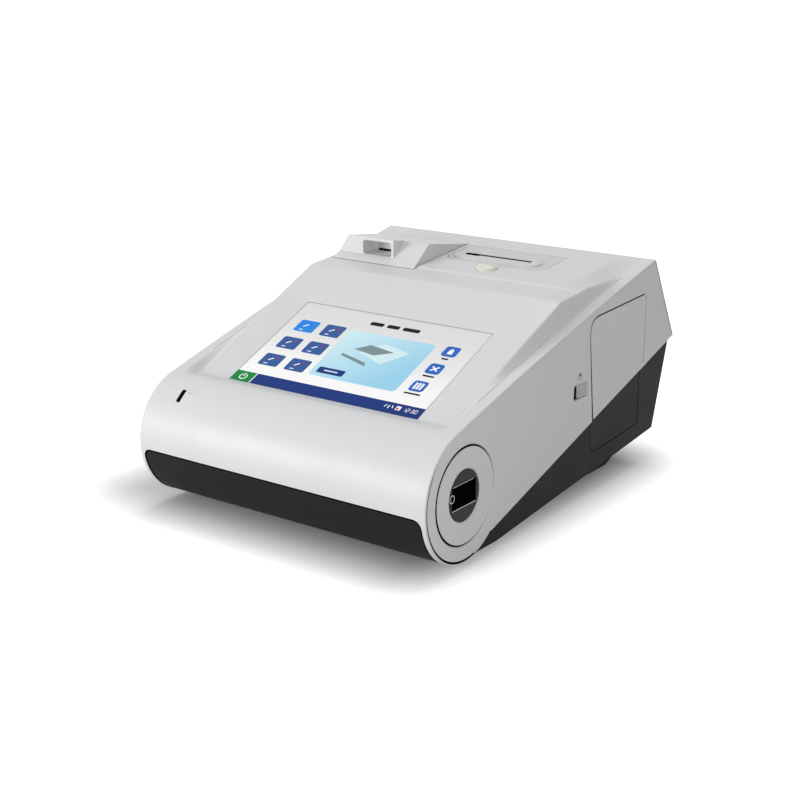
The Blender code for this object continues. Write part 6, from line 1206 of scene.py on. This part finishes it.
every_key = np.vstack([KEY_CENTRES, bright])
needles = [stroke for x, y in every_key for stroke in strokes((x - 1.2, y + 0.6, 4.2, 1.0, 38))]
labels = [stroke for x, y in every_key for stroke in strokes((x - 2.4, y - 4.1, 3.2, 0.9, 0))]
picture("picture_needles", needles, PICTURE_WHITE, 2)
picture("picture_labels", labels, PICTURE_MIST, 2)
drops = [disc((x + 3.4, y + 2.6) * np.array(MM), 0.95 * MM, 20) for x, y in KEY_CENTRES]
picture("picture_drops", drops, PICTURE_RED, 2)
TITLE_SPANS = ((-14.5, -3.4), (-0.6, 9.6), (12.4, 26.0))
title = [tile(left, right, 33.3, 36.9, 1.2) for left, right in TITLE_SPANS]
picture("picture_title", title, PICTURE_INK)
NAME_HALVES = (2.6, 4.4, 6.2)
name_places = zip(SIDE_KEYS, NAME_HALVES)
side_names = [tile(x - half, x + half, y - 8.6, y - 7.1, 0.5) for (x, y), half in name_places]
picture("picture_side_names", side_names, PICTURE_INK)
glyphs = strokes((59.5, 20.5, 3.6, 4.2, 0), (59.5, 23.4, 2.0, 1.0, 0))
glyphs += strokes((59.0, 2.2, 6.6, 1.3, 40), (59.0, 2.2, 6.6, 1.3, -40))
glyphs += strokes(*[(58.6 + step, -16.5, 6.4, 1.6, 90) for step in (-2.4, 0, 2.4)])
picture("picture_glyphs", glyphs, PICTURE_WHITE, 2)
start_label = strokes((-9.6, -19.4, 11.0, 1.1, 0))
picture("picture_start_label", start_label, PICTURE_MIST, 3)
print(len(labels) + len(needles) + len(drops), "small marks on the keys")

# %% [markdown]
# The bar at the foot of the screen carries the usual marks: a power sign, bars for the signal,
# a battery and a clock. The clock is drawn like a seven-segment display: one table says which
# bars each digit lights, and one says where each bar lies.

# %% Marks on the bar and the clock
a = np.linspace(math.radians(125), math.radians(415), 40)
arc = np.stack([np.cos(a), np.sin(a)], -1)
power = np.array([-68.4, -40.7])
power_ring = np.vstack([power + arc * 3.1, (power + arc * 2.3)[::-1]]) * MM
picture("picture_power_mark", [power_ring] + strokes((-68.4, -38.9, 3.4, 0.8, 90)), PICTURE_WHITE, 2)
signal = strokes((48.6, -39.4, 2.6, 0.7, 70), (51.2, -39.9, 3.0, 0.8, 90), (53.8, -39.4, 2.6, 0.7, 110))
battery = [tile(56.6, 60.2, -41.6, -37.8, 0.4)]
picture("picture_status", signal + battery, PICTURE_WHITE, 2)
picture("picture_charge", [tile(57.2, 58.8, -41.2, -39.2, 0.2)], PICTURE_RED, 3)
SEGMENTS = {
    "a": (0, 1.6, 1.3, 0),
    "b": (0.75, 0.8, 1.3, 90),
    "c": (0.75, -0.8, 1.3, 90),
    "d": (0, -1.6, 1.3, 0),
    "e": (-0.75, -0.8, 1.3, 90),
    "f": (-0.75, 0.8, 1.3, 90),
    "g": (0, 0, 1.3, 0),
}
LIT = {"0": "abcdef", "1": "bc", "2": "abged", "3": "abgcd"}
clock = []
for place, digit in zip((63.2, 65.7, 69.3, 71.8), "1230"):
    for part in LIT[digit]:
        x, y, length, turn = SEGMENTS[part]
        clock += strokes((place + x, -39.8 + y, length, 0.42, turn))
clock += strokes((67.5, -39.0, 0.5, 0.5, 0), (67.5, -40.7, 0.5, 0.5, 0))
picture("picture_clock", clock, PICTURE_WHITE, 2)
print(len(clock), "bars in the clock")

# %% [markdown]
# The panel shows a plain drawing of a sheet, a card and a strip, as flat shapes with four corners. Last
# comes the fine grey line of painted shade where the glass meets its frame, a strip between two loops
# like the shade in the seams.

# %% Drawing in the panel and the painted shade at the edge of the glass
sheet_loop = np.array([(-3.4, 4.6), (10.5, 17.0), (33.0, 11.6), (19.0, -3.6)]) * MM
picture("picture_sheet", [sheet_loop], PICTURE_MIST, 2)
card = [np.array([(-8.5, 6.5), (0.9, 13.3), (21.9, 9.9), (9.2, 3.7)]) * MM]
strip = [np.array([(-14.2, -1.6), (-13.6, 0.4), (8.7, -4.9), (9.7, -8.3)]) * MM]
picture("picture_card", card + strip, PICTURE_GREY, 3)
# The grey line round the glass is painted shade.
EDGE_LOW, EDGE_HIGH = GLASS_TOP - 0.3 * MM, GLASS_TOP + 0.08 * MM
frame_loops = [round_box((0, 0), np.array(SCREEN) - cut * MM, 0.5 * MM) for cut in (0.05, 0.8)]
glass_edge_shade = strip_between("glass_edge_shade", *frame_loops, EDGE_LOW, EDGE_HIGH, DECK, GREY_MARK_AND_SHADE)
keep(glass_edge_shade, "housing", "base_charcoal")
print("the screen is", np.round(np.array(SCREEN) / MM, 1), "mm")

# %% [markdown]
# ## Card port and printer lid
#
# The port is a raised block with a mouth for the test card, and the lid covers the paper roll and lets
# the paper out through a slot with a tear bar. Both have their true shapes as solids, so they are dressed
# copies, the port with a wide soft edge. The black in the seams round the port and in the slot is painted
# shade, in thin dark pieces, since a seam this narrow would be lost in a copy.

# %% Port, lid and their seams
dressed("card_port_housing", "housing", "shell_white", SHELL, 0.9 * MM, 4)
dressed("printer_lid", "lid", "lid_grey", LID_GREY, 0.25 * MM)
# Black pieces of painted shade in the seams round the port, and a dot at its rear corner.
front_z = top_z(31.6 * MM)
front_seam = [rectangle(-101.7, -28.0, 31.05, 32.05)]
seam = slabs("port_front_seam_shade", front_seam, front_z - 3 * MM, front_z + 0.06 * MM, FLAT, SHADE_AND_PRINT_BLACK)
keep(seam, "housing", "base_charcoal")
knots = np.array([31.35, 34.5, 37.5, 101.6]) * MM
level = np.append(top_z(knots[:2]), crown_z(knots[2:]))
under = np.stack([knots, level - 3 * MM], -1)
over = np.stack([knots, level - 0.3 * MM], -1)[::-1]
side_loops = [np.vstack([under, over])]
side_seam = slabs("port_side_seam_shade", side_loops, -28.45 * MM, -27.95 * MM, SIDE, SHADE_AND_PRINT_BLACK)
keep(side_seam, "housing", "base_charcoal")
PORT_CORNER = crown_frame(-28.2 * MM, 101.3 * MM)
corner_dot = [disc((0, 0), 0.8 * MM, 20)]
dots = slabs("port_corner_shade_dots", corner_dot, -0.5 * MM, 0.06 * MM, PORT_CORNER, SHADE_AND_PRINT_BLACK)
keep(dots, "housing", "base_charcoal")
ON_LID = crown_frame(0, 77 * MM)
slot_loop = round_box((14.25 * MM, 0), (54.9 * MM, 4.9 * MM), 0.3 * MM, 3)
slot_shade = slabs("paper_slot_shade", [slot_loop], -1.9 * MM, 0.7 * MM, ON_LID, SHADE_AND_PRINT_BLACK)
keep(slot_shade, "lid", "base_charcoal")
tear_loop = np.array([(-1.5, -2.4), (41.3, -2.4), (41.3, -0.5), (-0.5, -0.5)]) * MM
keep(slabs("tear_bar", [tear_loop], -0.3 * MM, 0.8 * MM, ON_LID, LID_GREY), "lid", "lid_grey")
print("the paper slot is", round(np.ptp(slot_loop[:, 0]) / MM, 1), "mm long")

# %% [markdown]
# ## Release button
#
# The button is an oval cream cap with a crown, a collar under the cover that keeps it in, and
# a stem on the spring. A turned shape with two radii for each row makes all of it at once. The
# crown is the mean of a parabola and of a fuller curve that stands upright at the edge.


# %% Button cap
def oval_turned(name, profile, place, material):
    """Rows (rx, ry, h): each row is the oval (rx cos a, ry sin a) at height h."""
    rx, ry, h = (np.array(column)[:, None] for column in zip(*profile))
    a = np.linspace(0, 2 * math.pi, 72, endpoint=False)[None, :]
    points = np.stack([rx * np.cos(a), ry * np.sin(a), h + 0 * a], -1).reshape(-1, 3)
    return shape_of(name, points, quads(len(profile), 72, ring_columns=True), material, place, 40)


s = np.sin(np.linspace(0, math.pi / 2, 20))
CAP_HIGH, COLLAR_WIDE = 3.15 * MM, 1.2 * MM
crown = CAP_HIGH * (0.5 * (1 - s**2) + 0.5 * np.sqrt(np.clip(1 - s**4, 0, 1)))
wide, long = BUTTON_HALF
button_profile = [(wide * r, long * r, h) for r, h in zip(s, crown)]
collar = ((0, -3.8), (COLLAR_WIDE, -3.8), (COLLAR_WIDE, -5.0))
button_profile += [(wide + out, long + out, h * MM) for out, h in collar]
button_profile += [(3.5 * MM, 3.5 * MM, h * MM) for h in (-5.0, -9.9)] + [(0, 0, -9.9 * MM)]
cap = oval_turned("release_button_skin", button_profile, BUTTON, CREAM)
keep(cap, "button", "button_cream", "release_button")
print("the button stands", round(crown[0] / MM, 2), "mm proud")

# %% [markdown]
# ## Inside
#
# The parts under the skins show when the door or the lid is open. Their solids have the right
# shapes, so each one keeps its solid and only gets a true finish, which goes on the object's
# own material slot and leaves the mesh as it is. The small window of the status light, which
# is seen from outside, is treated the same way.

# %% Finishes for the works
WORKS = (
    (NATURAL, ("contact_head", "fluid_bay", "fluid_pack", "paper_spindle", "idler_gear", "pump_housing")),
    (STEEL, ("lift_frame", "lift_motor", "print_motor", "pump_motor", "lan_socket", "usb_sockets")),
    (STEEL, ("door_hinge_pin", "lid_hinge_pin", "button_spring", "lcd_module", "scan_bracket")),
    (CHARCOAL, ("card_guide", "latch_keeper", "printer_frame", "fan_frame", "fan_rotor", "speaker")),
    (CHARCOAL, ("battery_pack", "battery_cover", "dc_jack")),
    (ALLOY, ("pump_rotor", "valve_block", "chassis_plate", "display_tray")),
    (BRASS, ("lift_screw", "motor_pinion")),
    (BOARD, ("main_board", "io_board")),
    (RUBBER, ("platen_roller", "display_gasket")),
    (WINDOW, ("print_head", "scan_engine")),
    (PAPER, ("paper_roll",)),
    (AMBER, ("pump_tube",)),
    (SHADE_AND_PRINT_BLACK, ("status_light_window",)),
)
for material, names in WORKS:
    for name in names:
        nodes[name].material_slots[0].link = "OBJECT"
        nodes[name].material_slots[0].material = material
print(sum(len(names) for _, names in WORKS), "inner solids finished")

# %% [markdown]
# ## Studio
#
# A product on white is lit by a few large soft lamps. Here one hangs overhead and a little
# behind, one stands low at the front left, and a small one at the right lights the door. The
# floor is lifted to white where the camera, a reflection or glass looks at it, so it throws no
# extra light on the object. A path tracer knows what kind of ray it follows, and that decides.

# %% Rays that see white
SEEING_RAYS = ("Is Camera Ray", "Is Glossy Ray", "Is Transmission Ray")


def seen_only(tree):
    """The largest of three flags: 1 for rays from the camera, from a reflection or through
    glass, else 0."""
    path = tree.nodes.new("ShaderNodeLightPath")
    seen = path.outputs[SEEING_RAYS[0]]
    for ray in SEEING_RAYS[1:]:
        either = tree.nodes.new("ShaderNodeMath")
        either.operation = "MAXIMUM"
        tree.links.new(seen, either.inputs[0])
        tree.links.new(path.outputs[ray], either.inputs[1])
        seen = either.outputs["Value"]
    return seen


print(len(SEEING_RAYS), "kinds of ray see white")

# %% [markdown]
# Close to the object the lift fades to nothing, which lets the shadow show. There the floor's own grey
# also shows where it is lit, so the darker ground round the object is partly its real shadow and partly
# painted shadow. The distance from a rectangle under the object is worked out for every point: subtract
# its middle, take absolute values, subtract half its size, cut off below zero, and measure what is left.

# %% Floor
FLOOR_GREY, FLOOR_REACH = 0.62, 25
# The rectangle and its fade make a patch of painted shadow on the floor, over the real shadow.
SHADOW_PATCH_MIDDLE, SHADOW_PATCH_HALF, SHADOW_PATCH_FADE = (-0.03, 0, 0), (0.108, 0.12, 0), 0.085
LIFT_NEAR, LIFT_FAR = 0.02, 0.9
floor_look = bpy.data.materials.new("studio_floor")
floor_look.use_nodes = True
tree = floor_look.node_tree
shader = tree.nodes["Principled BSDF"]
shader.inputs["Base Color"].default_value = (FLOOR_GREY, FLOOR_GREY, FLOOR_GREY, 1)
shader.inputs["Roughness"].default_value = 0.9
shader.inputs["Specular IOR Level"].default_value = 0.0
shader.inputs["Emission Color"].default_value = (1, 1, 1, 1)
place = tree.nodes.new("ShaderNodeTexCoord")
steps = [("SUBTRACT", SHADOW_PATCH_MIDDLE), ("ABSOLUTE", None), ("SUBTRACT", SHADOW_PATCH_HALF)]
steps += [("MAXIMUM", (0, 0, 0)), ("LENGTH", None)]
away = place.outputs["Object"]
for operation, value in steps:
    step = tree.nodes.new("ShaderNodeVectorMath")
    step.operation = operation
    tree.links.new(away, step.inputs[0])
    if value:
        step.inputs[1].default_value = value
    away = step.outputs["Value" if operation == "LENGTH" else "Vector"]
fade = tree.nodes.new("ShaderNodeMapRange")
fade.interpolation_type = "SMOOTHSTEP"
fade.inputs["From Min"].default_value = 0.0
fade.inputs["From Max"].default_value = SHADOW_PATCH_FADE
fade.inputs["To Min"].default_value = LIFT_NEAR
fade.inputs["To Max"].default_value = LIFT_FAR
tree.links.new(away, fade.inputs["Value"])
lift = tree.nodes.new("ShaderNodeMath")
lift.operation = "MULTIPLY"
tree.links.new(seen_only(tree), lift.inputs[0])
tree.links.new(fade.outputs["Result"], lift.inputs[1])
tree.links.new(lift.outputs["Value"], shader.inputs["Emission Strength"])
floor_corners = np.array([(-1, -1, 0), (1, -1, 0), (1, 1, 0), (-1, 1, 0)]) * FLOOR_REACH
floor_mesh = bpy.data.meshes.new("floor")
floor_mesh.from_pydata(floor_corners.tolist(), [], [(0, 1, 2, 3)])
floor_mesh.materials.append(floor_look)
floor = bpy.data.objects.new("floor", floor_mesh)
bpy.context.scene.collection.objects.link(floor)
print("the floor is", 2 * FLOOR_REACH, "m wide")

# %% [markdown]
# The sky works the same way: a dim, slightly blue light for the object, and white for the
# camera and for reflections.

# %% Sky
SKY_LIGHT, SKY_SEEN = 0.26, 1.06
world = bpy.data.worlds.new("sky")
bpy.context.scene.world = world
world.use_nodes = True
tree = world.node_tree
sky = tree.nodes["Background"]
sky.inputs["Color"].default_value = (0.97, 0.98, 1.0, 1)
level = tree.nodes.new("ShaderNodeMapRange")
level.inputs["To Min"].default_value = SKY_LIGHT
level.inputs["To Max"].default_value = SKY_SEEN
tree.links.new(seen_only(tree), level.inputs["Value"])
tree.links.new(level.outputs["Result"], sky.inputs["Strength"])
print("sky", SKY_LIGHT, "as light and", SKY_SEEN, "as seen")

# %% [markdown]
# The lamps are large for their distance, so every shadow has a soft edge. The camera looks down
# on the front right corner through a long lens, as in the photograph. Its place was fitted to
# the screen's corners, the outline and the ring.


# %% Lamps and camera
def lamp(name, place, target, size, power):
    """A square soft lamp aimed at a point."""
    light = bpy.data.lights.new(name, "AREA")
    light.size = size
    light.energy = power
    made = bpy.data.objects.new(name, light)
    bpy.context.scene.collection.objects.link(made)
    made.location = place
    made.rotation_euler = (Vector(target) - Vector(place)).to_track_quat("-Z", "Y").to_euler()
    made.visible_camera = False
    return made


lamp("overhead_lamp", (-0.12, 0.6, 1.7), (0, 0, 0.05), 1.2, 12.6)
lamp("front_lamp", (-1.0, -1.45, 0.45), (0, 0, 0.08), 0.7, 19.6)
lamp("side_lamp", (0.8, -0.72, 0.28), (0.1, -0.05, 0.06), 0.45, 2.45)

lens = bpy.data.cameras.new("camera")
lens.sensor_width = 36
lens.lens = 66.79
lens.clip_start = 0.01
lens.clip_end = 100
camera = bpy.data.objects.new("camera", lens)
bpy.context.scene.collection.objects.link(camera)
camera.location = (0.57405, -0.81299, 0.35862)
camera.rotation_euler = tuple(math.radians(turn) for turn in (73.24, -0.12, 36.04))
bpy.context.scene.camera = camera
bpy.context.scene.view_settings.view_transform = "Standard"
print("the camera stands", round(camera.location.length, 2), "m away")
